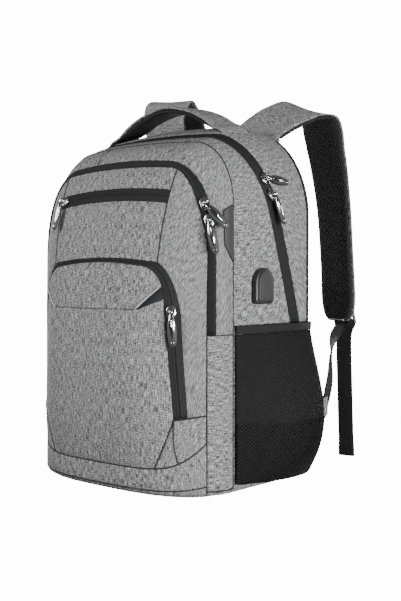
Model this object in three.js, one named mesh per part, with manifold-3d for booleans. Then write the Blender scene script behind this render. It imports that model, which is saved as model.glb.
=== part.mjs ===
// A laptop backpack, stuffed full and zipped shut, standing on its flat base.
// Millimetres, +Z up. The front faces -Y, the shoulder straps hang behind at +Y,
// and the origin is on the underside of the base, between the two sides.
import * as THREE from 'three';
import { mergeVertices } from 'three/addons/utils/BufferGeometryUtils.js';
import Module from 'manifold-3d';

const wasm = await Module();
wasm.setup();

// Driving sizes: walls and gaps
const GAP = 0.4;
const CANVAS = 2.4;
const TAPE = 1.8;

// Driving sizes: the body's four arched seams, from the back forward
const FOOT = 1;
const SHOULDER = 330;
const SEAM = {
  back: { y: 90, halfWidth: 148.5, top: 453, corner: 92, crown: 3 },
  piping: { y: -65, halfWidth: 150, top: 426, corner: 62, crown: 4, shoulder: 345 },
  zipOuter: { y: -94.5, halfWidth: 148, top: 403, corner: 80, crown: 4, shoulder: 292 },
  zipInner: { halfWidth: 139, top: 393, corner: 56, crown: 4, shoulder: 273 },
};
const SIDE_PUFF = 4;
const ROOF_PUFF = 12;
const ROOF_SHARE = 0.25;
const GUSSET_PUFF = 3;
const CORNER_PUFF = 6;
const BASE_ROUND = 10;

// Driving sizes: the rounded front, and the pocket that stands on it
const FRONT = { halfWidth: 150, cornerY: -40, reach: 103, level: 208, roof: 438, lean: 2.2, round: 3 };
const POCKET = {
  outer: { halfWidth: 118, top: 281, corner: 37, crown: 5, shoulder: 199, flare: 11 },
  inner: { halfWidth: 101, top: 276, corner: 33, crown: 5, shoulder: 233, flare: 19 },
  proud: 4,
  puff: 9,
  foldHeight: 220,
  flapHalfWidth: 98,
  slotStart: 70,
  slotRise: 26,
  rimRise: 11,
  slotTuck: 6,
  cornerCut: 87,
  goreRise: 5,
  flatness: 4,
  sag: 0.9,
  fullness: 0.7,
};
const BUMPER = { middle: 32, side: 64, halfWidth: 139, sweep: 7 };

// Driving sizes: zips and side pockets
const ZIP_END = { main: 199, second: 190, pocket: 91.5 };
const MAIN_ZIP = { width: 22, topY: -40, endY: 61, sweep: 0.76 };
const FRONT_ZIP = { upper: 0.24, lower: 0.38 };
const NET = {
  thickness: 1.4,
  footFront: 13,
  footRear: 5,
  top: 190,
  edge: 1.5,
  bulge: 33.5,
  sway: 16,
  mouth: 0.37,
  belly: 1,
  bellyLow: 0.73,
  rearward: 1.5,
  fullness: 0.6,
};
const BINDING = { height: 10, thickness: 2.6 };

// The share of an arch's half length that its straight side and its side plus corner take
const SIDE_SHARE = 0.5;
const CORNER_SHARE = 0.8;

// The body's seams climb level with each other up to this height and share of their straight side
const LEVEL = { height: 200, share: 5 / 8 };

// The heart of the body: cloth gets its thickness straight towards this box
const HEART = new THREE.Box3(new THREE.Vector3(-80, -60, 40), new THREE.Vector3(80, 50, 350));

const COLOURS = {
  canvas: { color: 0x7d7d7e, roughness: 0.9, metalness: 0 },
  black: { color: 0x1c1c1e, roughness: 0.8, metalness: 0 },
  mesh: { color: 0x242426, roughness: 0.85, metalness: 0 },
  plastic: { color: 0x202022, roughness: 0.5, metalness: 0 },
  metal: { color: 0xb9bbbf, roughness: 0.3, metalness: 1 },
};

const backpack = new THREE.Group();
const lerp = THREE.MathUtils.lerp;
const mirrored = (p) => new THREE.Vector3(-p.x, p.y, p.z);
const SIDES = [
  { name: 'right', place: (p) => p },
  { name: 'left', place: mirrored },
];

function addPiece(name, geometry, finish, parent = backpack) {
  const mesh = new THREE.Mesh(geometry, new THREE.MeshStandardMaterial(COLOURS[finish]));
  mesh.name = name;
  parent.add(mesh);
  return mesh;
}

function inward(p) {
  return HEART.clampPoint(p, new THREE.Vector3()).sub(p).normalize();
}

// The lowest centimetre of every wall curls in under the bag
function tuckUnder(p) {
  if (p.z >= BASE_ROUND) return p;
  const depth = BASE_ROUND - Math.sqrt(BASE_ROUND ** 2 - (BASE_ROUND - p.z) ** 2);
  const towards = HEART.clampPoint(p, new THREE.Vector3()).sub(p).setZ(0).normalize();
  return p.addScaledVector(towards, depth);
}

// The height at a share of an arch's straight side, and the share at a height
function sideHeight({ shoulder = SHOULDER, flare }, share) {
  if (flare) return lerp(FOOT, shoulder, share);
  if (share <= LEVEL.share) return lerp(FOOT, LEVEL.height, share / LEVEL.share);
  return lerp(LEVEL.height, shoulder, (share - LEVEL.share) / (1 - LEVEL.share));
}
function sideShare({ shoulder = SHOULDER, flare }, z) {
  if (flare) return (z - FOOT) / (shoulder - FOOT);
  if (z <= LEVEL.height) return LEVEL.share * (z - FOOT) / (LEVEL.height - FOOT);
  return lerp(LEVEL.share, 1, (z - LEVEL.height) / (shoulder - LEVEL.height));
}

// An arch from its right foot (t = 0) over the crown (t = 0.5) to its left foot (t = 1)
function arch(row, t) {
  const { halfWidth, top, corner, crown, shoulder = SHOULDER, flare = 0 } = row;
  const climb = 2 * Math.min(t, 1 - t);
  const eave = top - crown;
  let x = halfWidth;
  let z = shoulder;
  if (climb <= SIDE_SHARE) {
    x += flare * (1 - climb / SIDE_SHARE);
    z = sideHeight(row, climb / SIDE_SHARE);
  } else if (climb <= CORNER_SHARE) {
    const angle = (climb - SIDE_SHARE) / (CORNER_SHARE - SIDE_SHARE) * Math.PI / 2;
    x += corner * (Math.cos(angle) - 1);
    z += (eave - shoulder) * Math.sin(angle);
  } else {
    const fromCrown = (1 - climb) / (1 - CORNER_SHARE);
    x = (halfWidth - corner) * fromCrown;
    z = eave + crown * (1 - fromCrown ** 2);
  }
  return { x: t <= 0.5 ? x : -x, z };
}

// The stops that every panel along an arch shares, so that neighbours bend at the same places
const KNOTS = { side: 8, corner: 7, crown: 4 };
function archStops(from, to) {
  const inside = [];
  const addRun = (start, end, count) => {
    for (let k = 0; k <= count; k++) inside.push(lerp(start, end, k / count));
  };
  const [corner, crown] = [SIDE_SHARE / 2, CORNER_SHARE / 2];
  addRun(0, corner, KNOTS.side);
  addRun(corner, crown, KNOTS.corner);
  addRun(crown, 1 - crown, KNOTS.crown);
  addRun(1 - crown, 1 - corner, KNOTS.corner);
  addRun(1 - corner, 1, KNOTS.side);
  const clear = (to - from) / 100;
  const kept = inside.filter((t, k) => t > from + clear && t < to - clear && t - inside[k - 1] > clear);
  return [from, ...kept, to].map((t) => (t - from) / (to - from));
}

// Where on an arch's right side a given height is
function atHeight(row, z) {
  return SIDE_SHARE / 2 * sideShare(row, z);
}

// The front face: round at its sides, leaning back towards the roof
function frontY(x, z) {
  const rise = THREE.MathUtils.clamp((z - FRONT.level) / (FRONT.roof - FRONT.level), 0, 1);
  const reach = FRONT.reach * (1 - rise ** FRONT.lean) ** (1 / FRONT.lean);
  const aside = Math.min(1, Math.abs(x) / FRONT.halfWidth);
  return FRONT.cornerY - reach * (1 - aside ** FRONT.round) ** (1 / FRONT.round);
}

function frontPoint(x, z, proud = 0) {
  return tuckUnder(new THREE.Vector3(x, frontY(x, z) - proud, z));
}

function seamPoint(row, t) {
  const { x, z } = arch(row, t);
  return new THREE.Vector3(x, row.y ?? frontY(x, z), z);
}

// A puffed band of cloth between two seams; f runs from the first to the second
function between(from, to, t, f, puff) {
  const p = seamPoint(from, t).lerp(seamPoint(to, t), f);
  const towards = inward(p);
  if (p.z < SHOULDER) towards.setZ(0).normalize();
  return tuckUnder(p.addScaledVector(towards, -puff * Math.sin(Math.PI * f)));
}

// The main compartment swells most over the roof
function mainShell(t, f) {
  const past = 2 * Math.min(t, 1 - t) - SIDE_SHARE;
  const roof = THREE.MathUtils.clamp(past / ROOF_SHARE, 0, 1) ** 2;
  return between(SEAM.back, SEAM.piping, t, f, lerp(SIDE_PUFF, ROOF_PUFF, roof));
}

function gussetShell(t, f) {
  return between(SEAM.piping, SEAM.zipOuter, t, f, GUSSET_PUFF);
}

// How far forward of the back seam the main zip's edge runs, as a share of the main shell
function mainZipShare(t, offset) {
  const z = seamPoint(SEAM.back, t).lerp(seamPoint(SEAM.piping, t), 0.5).z;
  const crown = (SEAM.back.top + SEAM.piping.top) / 2;
  const drop = Math.max(0, crown - z) / (crown - ZIP_END.main);
  const y = lerp(MAIN_ZIP.topY, MAIN_ZIP.endY, drop ** MAIN_ZIP.sweep) + offset;
  return (SEAM.back.y - y) / (SEAM.back.y - SEAM.piping.y);
}

function bumperSeam(x) {
  return lerp(BUMPER.middle, BUMPER.side, Math.min(1, Math.abs(x) / BUMPER.halfWidth) ** BUMPER.sweep);
}

// The top edge of the pocket's front, seen from the front
function pocketTop(x) {
  const { halfWidth, top, corner, crown, shoulder } = POCKET.inner;
  const flat = halfWidth - corner;
  const eave = top - crown;
  if (Math.abs(x) <= flat) return eave + crown * (1 - (x / flat) ** 2);
  const past = Math.min(1, (Math.abs(x) - flat) / corner);
  return shoulder + (eave - shoulder) * Math.sqrt(1 - past ** 2);
}

// Two layers of points joined round their rims into one closed body.
// Each direction takes a count of even steps, or the stops themselves from 0 to 1.
function stopsOf(steps) {
  if (Array.isArray(steps)) return steps;
  return Array.from({ length: steps + 1 }, (_, k) => k / steps);
}
function closedSheet(columnSteps, rowSteps, outer, inner) {
  const [columnStops, rowStops] = [stopsOf(columnSteps), stopsOf(rowSteps)];
  const points = [];
  for (const layer of [outer, inner]) {
    for (const u of columnStops) {
      for (const v of rowStops) points.push(layer(u, v));
    }
  }
  const [columns, rows] = [columnStops.length - 1, rowStops.length - 1];
  const layerSize = (columns + 1) * (rows + 1);
  const at = (layer, i, j) => layer * layerSize + i * (rows + 1) + j;
  const faces = [];
  const quad = (a, b, c, d) => faces.push(a, b, c, a, c, d);
  for (let i = 0; i < columns; i++) {
    for (let j = 0; j < rows; j++) {
      quad(at(0, i, j), at(0, i + 1, j), at(0, i + 1, j + 1), at(0, i, j + 1));
      quad(at(1, i, j), at(1, i, j + 1), at(1, i + 1, j + 1), at(1, i + 1, j));
    }
    quad(at(0, i, 0), at(1, i, 0), at(1, i + 1, 0), at(0, i + 1, 0));
    quad(at(0, i, rows), at(0, i + 1, rows), at(1, i + 1, rows), at(1, i, rows));
  }
  for (let j = 0; j < rows; j++) {
    quad(at(0, 0, j), at(0, 0, j + 1), at(1, 0, j + 1), at(1, 0, j));
    quad(at(0, columns, j), at(1, columns, j), at(1, columns, j + 1), at(0, columns, j + 1));
  }
  return facingOut(points, faces);
}

function facingOut(points, faces) {
  let volume = 0;
  for (let k = 0; k < faces.length; k += 3) {
    const [a, b, c] = [points[faces[k]], points[faces[k + 1]], points[faces[k + 2]]];
    volume += a.dot(new THREE.Vector3().crossVectors(b, c));
  }
  const geometry = new THREE.BufferGeometry().setFromPoints(points);
  geometry.setIndex(volume > 0 ? faces : faces.reverse());
  return geometry;
}

// The same sheet drawn in by half a gap along all four edges
function drawnIn(point) {
  const steps = 12;
  const length = (line) => {
    let total = 0;
    for (let k = 0; k < steps; k++) total += line(k / steps).distanceTo(line((k + 1) / steps));
    return total;
  };
  return (u, v) => {
    const edgeU = GAP / 2 / length((k) => point(k, v));
    const edgeV = GAP / 2 / length((k) => point(u, k));
    return point(lerp(edgeU, 1 - edgeU, u), lerp(edgeV, 1 - edgeV, v));
  };
}

// A sewn panel of the body: its outer face, with the cloth's thickness inside it
function panel(columns, rows, point, thickness = CANVAS) {
  const outer = drawnIn(point);
  const inner = (u, v) => {
    const p = outer(u, v);
    return p.addScaledVector(inward(p), thickness);
  };
  return closedSheet(columns, rows, outer, inner);
}

// Something sewn onto a surface from outside, standing off it by a gap
function patch(columns, rows, point, thickness) {
  const off = (height) => (u, v) => {
    const p = point(u, v);
    return p.addScaledVector(inward(p), -height);
  };
  return closedSheet(columns, rows, off(GAP + thickness), off(GAP));
}

// Main compartment: gussets and the zip that runs over the roof
const zipStart = atHeight(SEAM.back, ZIP_END.main);
const overRoof = (u) => lerp(zipStart, 1 - zipStart, u);
const zipEdge = (t, side) => mainZipShare(t, side * MAIN_ZIP.width / 2);
const mainStops = archStops(zipStart, 1 - zipStart);
addPiece('rear_gusset', panel(mainStops, 3, (u, v) => {
  const t = overRoof(u);
  return mainShell(t, lerp(0, zipEdge(t, 1), v));
}), 'canvas');
addPiece('main_zip_tape', panel(mainStops, 1, (u, v) => {
  const t = overRoof(u);
  return mainShell(t, lerp(zipEdge(t, 1), zipEdge(t, -1), v));
}, TAPE), 'black');
addPiece('middle_gusset', panel(mainStops, 3, (u, v) => {
  const t = overRoof(u);
  return mainShell(t, lerp(zipEdge(t, -1), 1, v));
}), 'canvas');

// The walls behind the side pockets, and the rounded corners in front of them
for (const side of SIDES) {
  addPiece(`lower_side_${side.name}`, panel(6, 6, (u, v) =>
    side.place(mainShell(lerp(0, zipStart, u), v))), 'canvas');
  const cornerTop = atHeight(SEAM.zipInner, ZIP_END.second);
  addPiece(`lower_corner_${side.name}`, panel(6, 3, (u, v) =>
    side.place(between(SEAM.piping, SEAM.zipInner, lerp(0, cornerTop, u), v, CORNER_PUFF))), 'canvas');
}

// Second compartment: its gusset and zip
const secondStart = atHeight(SEAM.piping, ZIP_END.second);
const overSecond = (u) => lerp(secondStart, 1 - secondStart, u);
const secondStops = archStops(secondStart, 1 - secondStart);
addPiece('second_gusset', panel(secondStops, 2, (u, v) => gussetShell(overSecond(u), v)), 'canvas');
addPiece('second_zip_tape', panel(secondStops, 1, (u, v) =>
  between(SEAM.zipOuter, SEAM.zipInner, overSecond(u), v, GUSSET_PUFF), TAPE), 'black');

// The front face between the second zip and the pocket's zip, cut by two upright seams
const SEAM_KNOT = 6;
const SEAM_TURN = lerp(SIDE_SHARE / 2, CORNER_SHARE / 2, SEAM_KNOT / KNOTS.corner);
function frontFace(tOuter, tInner, f) {
  const outer = arch(SEAM.zipInner, tOuter);
  const inner = arch(POCKET.outer, tInner);
  return frontPoint(lerp(outer.x, inner.x, f), lerp(outer.z, inner.z, f));
}
function middleFront(u, f) {
  const t = lerp(SEAM_TURN, 1 - SEAM_TURN, u);
  return frontFace(t, t, f);
}
const { upper, lower } = FRONT_ZIP;
const frontBands = [
  { name: 'front_top_panel', from: 0, to: upper, rows: 2, wall: CANVAS, finish: 'canvas' },
  { name: 'front_zip_tape', from: upper, to: lower, rows: 1, wall: TAPE, finish: 'black' },
  { name: 'front_middle_panel', from: lower, to: 1, rows: 3, wall: CANVAS, finish: 'canvas' },
];
for (const band of frontBands) {
  addPiece(band.name, panel(archStops(SEAM_TURN, 1 - SEAM_TURN), band.rows, (u, v) =>
    middleFront(u, lerp(band.from, band.to, v)), band.wall), band.finish);
}

// The seam below the pocket zip's ends climbs a little from the pocket to the corner
function legX(row, z) {
  return row.halfWidth + row.flare * Math.max(0, 1 - (z - FOOT) / (row.shoulder - FOOT));
}
const goreStart = legX(POCKET.inner, ZIP_END.pocket);
function goreTop(x) {
  return ZIP_END.pocket + POCKET.goreRise * (x - goreStart) / (BUMPER.halfWidth - goreStart);
}
const outerEnd = goreTop(legX(POCKET.outer, ZIP_END.pocket));
const sideFrontFoot = {
  outer: atHeight(SEAM.zipInner, goreTop(BUMPER.halfWidth)),
  inner: atHeight(POCKET.outer, outerEnd),
};
for (const side of SIDES) {
  const sideStops = archStops(sideFrontFoot.outer, SEAM_TURN);
  addPiece(`front_side_${side.name}`, panel(sideStops, 3, (u, v) => {
    const tOuter = lerp(sideFrontFoot.outer, SEAM_TURN, u);
    const below = Math.max(0, SIDE_SHARE / 2 - tOuter) / (SIDE_SHARE / 2 - sideFrontFoot.outer);
    const tInner = tOuter + (sideFrontFoot.inner - sideFrontFoot.outer) * below;
    return side.place(frontFace(tOuter, tInner, v));
  }), 'canvas');
}

// Front pocket: zip, flap, front, the black lining in its open corners, and the gores below
const outerStart = atHeight(POCKET.outer, outerEnd);
const innerStart = atHeight(POCKET.inner, ZIP_END.pocket);
addPiece('pocket_zip_tape', panel(archStops(outerStart, 1 - outerStart), 2, (u, v) => {
  const outer = arch(POCKET.outer, lerp(outerStart, 1 - outerStart, u));
  const inner = arch(POCKET.inner, lerp(innerStart, 1 - innerStart, u));
  return frontPoint(lerp(outer.x, inner.x, v), lerp(outer.z, inner.z, v), POCKET.proud * v);
}, TAPE), 'black');

const cutFoot = bumperSeam(POCKET.cornerCut);
function pocketHalfWidth(z) {
  const leg = legX(POCKET.inner, z);
  if (z >= ZIP_END.pocket) return leg;
  return lerp(POCKET.cornerCut, leg, Math.max(0, z - cutFoot) / (ZIP_END.pocket - cutFoot));
}
function pocketPoint(x, z) {
  const across = Math.min(1, Math.abs(x) / pocketHalfWidth(z));
  const up = THREE.MathUtils.clamp((z - BUMPER.middle) / (POCKET.inner.top - BUMPER.middle), 0, 1);
  const crown = (1 - across ** POCKET.flatness) * Math.sin(Math.PI * up ** POCKET.sag) ** POCKET.fullness;
  const stand = THREE.MathUtils.clamp((z - cutFoot) / (ZIP_END.pocket - cutFoot), 0, 1);
  return frontPoint(x, z, POCKET.proud * stand + POCKET.puff * crown);
}
function pastSlot(x) {
  return Math.max(0, Math.abs(x) - POCKET.slotStart) / (POCKET.flapHalfWidth - POCKET.slotStart);
}
function flapEdge(x) {
  return POCKET.foldHeight + POCKET.slotRise * pastSlot(x);
}
function pocketRim(x) {
  return POCKET.foldHeight + POCKET.rimRise * pastSlot(x);
}
addPiece('pocket_flap', panel(24, 4, (u, v) => {
  const x = Math.sin(lerp(Math.PI / 2, -Math.PI / 2, u)) * POCKET.flapHalfWidth;
  return pocketPoint(x, lerp(flapEdge(x), pocketTop(x), v));
}), 'canvas');
addPiece('pocket_front', panel(20, 8, (u, v) => {
  const across = lerp(1, -1, u);
  const rim = pocketRim(across * POCKET.inner.halfWidth);
  const z = lerp(bumperSeam(across * POCKET.cornerCut), rim, v);
  return pocketPoint(across * pocketHalfWidth(z), z);
}), 'canvas');
for (const side of SIDES) {
  addPiece(`slot_lining_${side.name}`, panel(6, 1, (u, v) => {
    const x = lerp(POCKET.slotStart + POCKET.slotTuck, POCKET.inner.halfWidth, u);
    return side.place(pocketPoint(x, lerp(pocketRim(x), Math.min(flapEdge(x), pocketTop(x)), v)));
  }, TAPE), 'black');
  addPiece(`pocket_gore_${side.name}`, panel(4, 3, (u, v) => {
    const innerX = pocketHalfWidth(lerp(cutFoot, ZIP_END.pocket, v));
    const foot = bumperSeam(lerp(POCKET.cornerCut, BUMPER.halfWidth, u));
    const top = goreTop(lerp(goreStart, BUMPER.halfWidth, u));
    const proud = POCKET.proud * v * (1 - u);
    return side.place(frontPoint(lerp(innerX, BUMPER.halfWidth, u), lerp(foot, top, v), proud));
  }), 'canvas');
}

// The bumper round the foot of the front, the base plate and the padded back
addPiece('bumper', panel(24, 4, (u, v) => {
  const x = BUMPER.halfWidth * Math.sin(lerp(Math.PI / 2, -Math.PI / 2, u));
  return frontPoint(x, lerp(FOOT, bumperSeam(x), v));
}), 'canvas');

const BASE_THICKNESS = 3;
const BASE_INSET = CANVAS + 1;
function baseOutline() {
  const front = [];
  const steps = 14;
  for (let k = 0; k <= steps; k++) {
    const x = BUMPER.halfWidth * Math.sin(lerp(-Math.PI / 2, Math.PI / 2, k / steps));
    front.push(frontPoint(x, FOOT));
  }
  const sideFeet = [seamPoint(SEAM.piping, 0), seamPoint(SEAM.back, 0)].map(tuckUnder);
  const outline = [...front, ...sideFeet, ...sideFeet.map(mirrored).reverse()];
  return outline.map((p) => p.addScaledVector(inward(p).setZ(0).normalize(), BASE_INSET));
}
const baseShape = new THREE.Shape(baseOutline().map((p) => new THREE.Vector2(p.x, p.y)));
const basePlate = new THREE.ExtrudeGeometry(baseShape, { depth: BASE_THICKNESS, bevelEnabled: false });
addPiece('base', basePlate, 'canvas');

const BACK = { pad: 9, rim: 0.35, rimShare: 6, edge: 1, footDraw: 8, footShare: 8 };

function backTop(x) {
  const { halfWidth, top, corner, crown } = SEAM.back;
  const flat = halfWidth - corner;
  const eave = top - crown;
  if (Math.abs(x) <= flat) return eave + crown * (1 - (x / flat) ** 2);
  return SHOULDER + (eave - SHOULDER) * Math.sqrt(Math.max(0, 1 - ((Math.abs(x) - flat) / corner) ** 2));
}
function backFace(depth) {
  return (u, v) => {
    const across = Math.sin(lerp(-Math.PI / 2, Math.PI / 2, u));
    const x = across * (SEAM.back.halfWidth - BACK.edge - BACK.footDraw * (1 - v) ** BACK.footShare);
    const z = lerp(FOOT, backTop(x), v);
    const crown = (1 - Math.abs(across) ** BACK.rimShare) * (1 - Math.abs(2 * v - 1) ** BACK.rimShare);
    return new THREE.Vector3(x, SEAM.back.y + GAP + depth * lerp(BACK.rim, 1, crown), z);
  };
}
addPiece('back_panel', closedSheet(14, 9, backFace(BACK.pad), backFace(0)), 'mesh');

// Side pockets: a bulging net that sags to the rear, with an elastic binding at its mouth
function netPoint(y, z) {
  const f = (SEAM.back.y - y) / (SEAM.back.y - SEAM.piping.y);
  const wall = mainShell(atHeight(SEAM.back, z), f);
  const up = (z - FOOT) / (NET.top - FOOT);
  const lengthwise = Math.sin(Math.PI * THREE.MathUtils.clamp(1 - f, 0, 1) ** NET.rearward) ** NET.fullness;
  const upright = NET.mouth * up + NET.belly * Math.sin(Math.PI * Math.min(1, up) ** NET.bellyLow);
  wall.x += NET.bulge * lengthwise * upright;
  wall.y += NET.sway * lengthwise * upright * (1 - f);
  return wall;
}
for (const side of SIDES) {
  const netAt = (u, z) => netPoint(lerp(SEAM.piping.y + NET.edge, SEAM.back.y - NET.edge, u), z);
  const footAt = (u) => lerp(NET.footFront, NET.footRear, u);
  addPiece(`side_net_${side.name}`, patch(12, 9, (u, v) =>
    side.place(netAt(u, lerp(footAt(u), NET.top, v))), NET.thickness), 'mesh');
  addPiece(`net_binding_${side.name}`, patch(12, 1, (u, v) =>
    side.place(netAt(u, NET.top + GAP + v * BINDING.height)), BINDING.thickness), 'black');
}

// Charging port on the right side: a moulded housing with a rubber cover
const PORT = { y: -15, z: 247, width: 36, height: 44, foot: 6, depth: 5, coverInset: 4, coverDepth: 2 };
// A plate with a domed top and a flat foot with rounded corners
function domedPlate(width, height, round, depth) {
  const shape = new THREE.Shape();
  const [w, h] = [width / 2, height / 2];
  shape.moveTo(-w + round, -h).lineTo(w - round, -h).absarc(w - round, -h + round, round, -Math.PI / 2, 0);
  shape.lineTo(w, h - w).absarc(0, h - w, w, 0, Math.PI);
  shape.lineTo(-w, -h + round).absarc(-w + round, -h + round, round, Math.PI, Math.PI * 1.5);
  return new THREE.ExtrudeGeometry(shape, { depth, bevelEnabled: false, curveSegments: 6 });
}
const portGroup = new THREE.Group();
const [toSide, toBack, up] = [[1, 0, 0], [0, 1, 0], [0, 0, 1]].map((axis) => new THREE.Vector3(...axis));
portGroup.quaternion.setFromRotationMatrix(new THREE.Matrix4().makeBasis(toBack, up, toSide));
portGroup.position.set(SEAM.piping.halfWidth + SIDE_PUFF + GAP, PORT.y, PORT.z);
backpack.add(portGroup);
const housing = domedPlate(PORT.width, PORT.height, PORT.foot, PORT.depth);
addPiece('port_housing', housing, 'plastic', portGroup);
const [coverWidth, coverHeight] = [PORT.width, PORT.height].map((size) => size - 2 * PORT.coverInset);
const cover = domedPlate(coverWidth, coverHeight, PORT.foot - PORT.coverInset, PORT.coverDepth);
const portCover = addPiece('port_cover', cover, 'black', portGroup);
portCover.position.z = PORT.depth + GAP;

// Rubber patch over the earphone outlet, beside the piping on the right
const OUTLET = { low: 275, high: 343, from: 0.06, reach: 0.58, thickness: 2, tip: 0.08, taper: 0.4, crest: 0.14 };
function gussetAtHeight(z, f) {
  let [low, high] = [secondStart, CORNER_SHARE / 2];
  for (let k = 0; k < 30; k++) {
    const middle = (low + high) / 2;
    if (gussetShell(middle, f).z < z) low = middle;
    else high = middle;
  }
  return gussetShell(low, f);
}
addPiece('outlet_patch', patch(20, 3, (u, v) => {
  const narrow = Math.min(1, u / OUTLET.taper, (1 - u) / OUTLET.crest);
  const swell = lerp(OUTLET.tip, 1, Math.sin(Math.PI / 2 * narrow));
  return gussetAtHeight(lerp(OUTLET.low, OUTLET.high, u), OUTLET.from + OUTLET.reach * swell * v);
}, OUTLET.thickness), 'plastic');

// A flat strap swept along a smooth curve; each row gives a centre and the crosswise direction.
// Its edges are thinner than its middle.
const EDGE = { thinner: 0.5, share: 4 };
function strapPath(rows) {
  const curveOf = (points) => new THREE.CatmullRomCurve3(points);
  const centres = curveOf(rows.map((r) => new THREE.Vector3(r.x, r.y, r.z)));
  const sideways = curveOf(rows.map((r) => new THREE.Vector3(r.acrossX, r.acrossY, r.acrossZ)));
  return (u) => {
    const along = centres.getTangent(u);
    const across = sideways.getPoint(u);
    across.addScaledVector(along, -across.dot(along)).normalize();
    return { centre: centres.getPoint(u), across, normal: new THREE.Vector3().crossVectors(across, along) };
  };
}
function strapLayer(path, { steps, lanes, width, low, high, place = (p) => p }) {
  const layer = (height) => (u, v) => {
    const { centre, across, normal } = path(u);
    const round = 1 - EDGE.thinner * Math.abs(2 * v - 1) ** EDGE.share;
    const half = (typeof width === 'function' ? width(u) : width) * (v - 0.5);
    const lift = (typeof height === 'function' ? height(u) : height) * round;
    return place(centre.addScaledVector(across, half).addScaledVector(normal, lift));
  };
  return closedSheet(steps, lanes, layer(high), layer(low));
}

// Top handle: a padded arch lined in black, with both feet sewn flat on the roof
const HANDLE = { width: 46, face: 2.4, pad: 7, footPad: 1.2, footShare: 0.22, middleX: -3, middleY: 1 };
const handleArch = [
  { x: 97, z: 443.5, slope: 0.2 }, { x: 84, z: 449.5, slope: 0.2 }, { x: 66, z: 461, slope: 0.15 },
  { x: 40, z: 471.7, slope: 0.1 }, { x: 0, z: 478.8, slope: 0.06 },
];
const handleRows = [...handleArch, ...handleArch.slice(0, -1).reverse().map((row) => ({ ...row, x: -row.x }))]
  .map(({ x, z, slope }) => ({ x: x + HANDLE.middleX, y: HANDLE.middleY, z, acrossX: 0, acrossY: 1, acrossZ: slope }));
const handlePath = strapPath(handleRows);
const handleShape = { steps: 24, lanes: 3, width: HANDLE.width };
const handlePad = (u) => -lerp(HANDLE.footPad, HANDLE.pad, Math.min(1, Math.min(u, 1 - u) / HANDLE.footShare) ** 2);
const handleFace = { ...handleShape, low: GAP / 2, high: HANDLE.face };
const handleLining = { ...handleShape, low: handlePad, high: -GAP / 2 };
addPiece('handle_face', strapLayer(handlePath, handleFace), 'canvas');
addPiece('handle_lining', strapLayer(handlePath, handleLining), 'black');

// Shoulder straps: canvas outside, net-covered pad inside. The right one swings out
// behind, and the left one stands up before it folds back.
const STRAP = {
  width: 63,
  rootWidth: 72,
  rootTo: 0.14,
  endWidth: 44,
  taperFrom: 0.9,
  face: 2.6,
  pad: 9,
  padFrom: 0.1,
};
const strapRows = {
  right: [
    { x: 68, y: 90.5, z: 450.5, acrossX: 1, acrossY: 0, acrossZ: -0.4 },
    { x: 71, y: 101, z: 460, acrossX: 1, acrossY: 0.03, acrossZ: -0.44 },
    { x: 77, y: 138, z: 480, acrossX: 1, acrossY: 0.12, acrossZ: -0.45 },
    { x: 83, y: 176, z: 491, acrossX: 1, acrossY: 0.2, acrossZ: -0.42 },
    { x: 89.5, y: 205, z: 478.5, acrossX: 1, acrossY: 0.1, acrossZ: -0.28 },
    { x: 98.5, y: 212.5, z: 430, acrossX: 1, acrossY: -0.12, acrossZ: -0.1 },
    { x: 111, y: 211, z: 360, acrossX: 1, acrossY: -0.26, acrossZ: -0.05 },
    { x: 118, y: 208.5, z: 295, acrossX: 1, acrossY: -0.3, acrossZ: 0 },
    { x: 121, y: 209, z: 236, acrossX: 1, acrossY: -0.28, acrossZ: 0.12 },
    { x: 121, y: 211, z: 196, acrossX: 1, acrossY: -0.24, acrossZ: 0.33 },
  ],
  left: [
    { x: 99, y: 92, z: 444, acrossX: 1, acrossY: 0, acrossZ: -0.5 },
    { x: 105, y: 94, z: 465, acrossX: 1, acrossY: -0.25, acrossZ: -0.3 },
    { x: 110.5, y: 95.5, z: 488.5, acrossX: 0.92, acrossY: -0.4, acrossZ: -0.12 },
    { x: 112, y: 103, z: 506, acrossX: 0.85, acrossY: -0.53, acrossZ: -0.03 },
    { x: 116, y: 121, z: 514.5, acrossX: 0.82, acrossY: -0.57, acrossZ: 0 },
    { x: 124, y: 152, z: 493, acrossX: 0.9, acrossY: -0.45, acrossZ: 0 },
    { x: 128, y: 185, z: 440, acrossX: 1, acrossY: -0.28, acrossZ: 0 },
    { x: 123, y: 204.5, z: 350, acrossX: 1, acrossY: -0.24, acrossZ: 0 },
    { x: 121, y: 209, z: 245, acrossX: 1, acrossY: -0.22, acrossZ: 0.12 },
    { x: 121, y: 211, z: 196, acrossX: 1, acrossY: -0.24, acrossZ: 0.33 },
  ],
};

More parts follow.
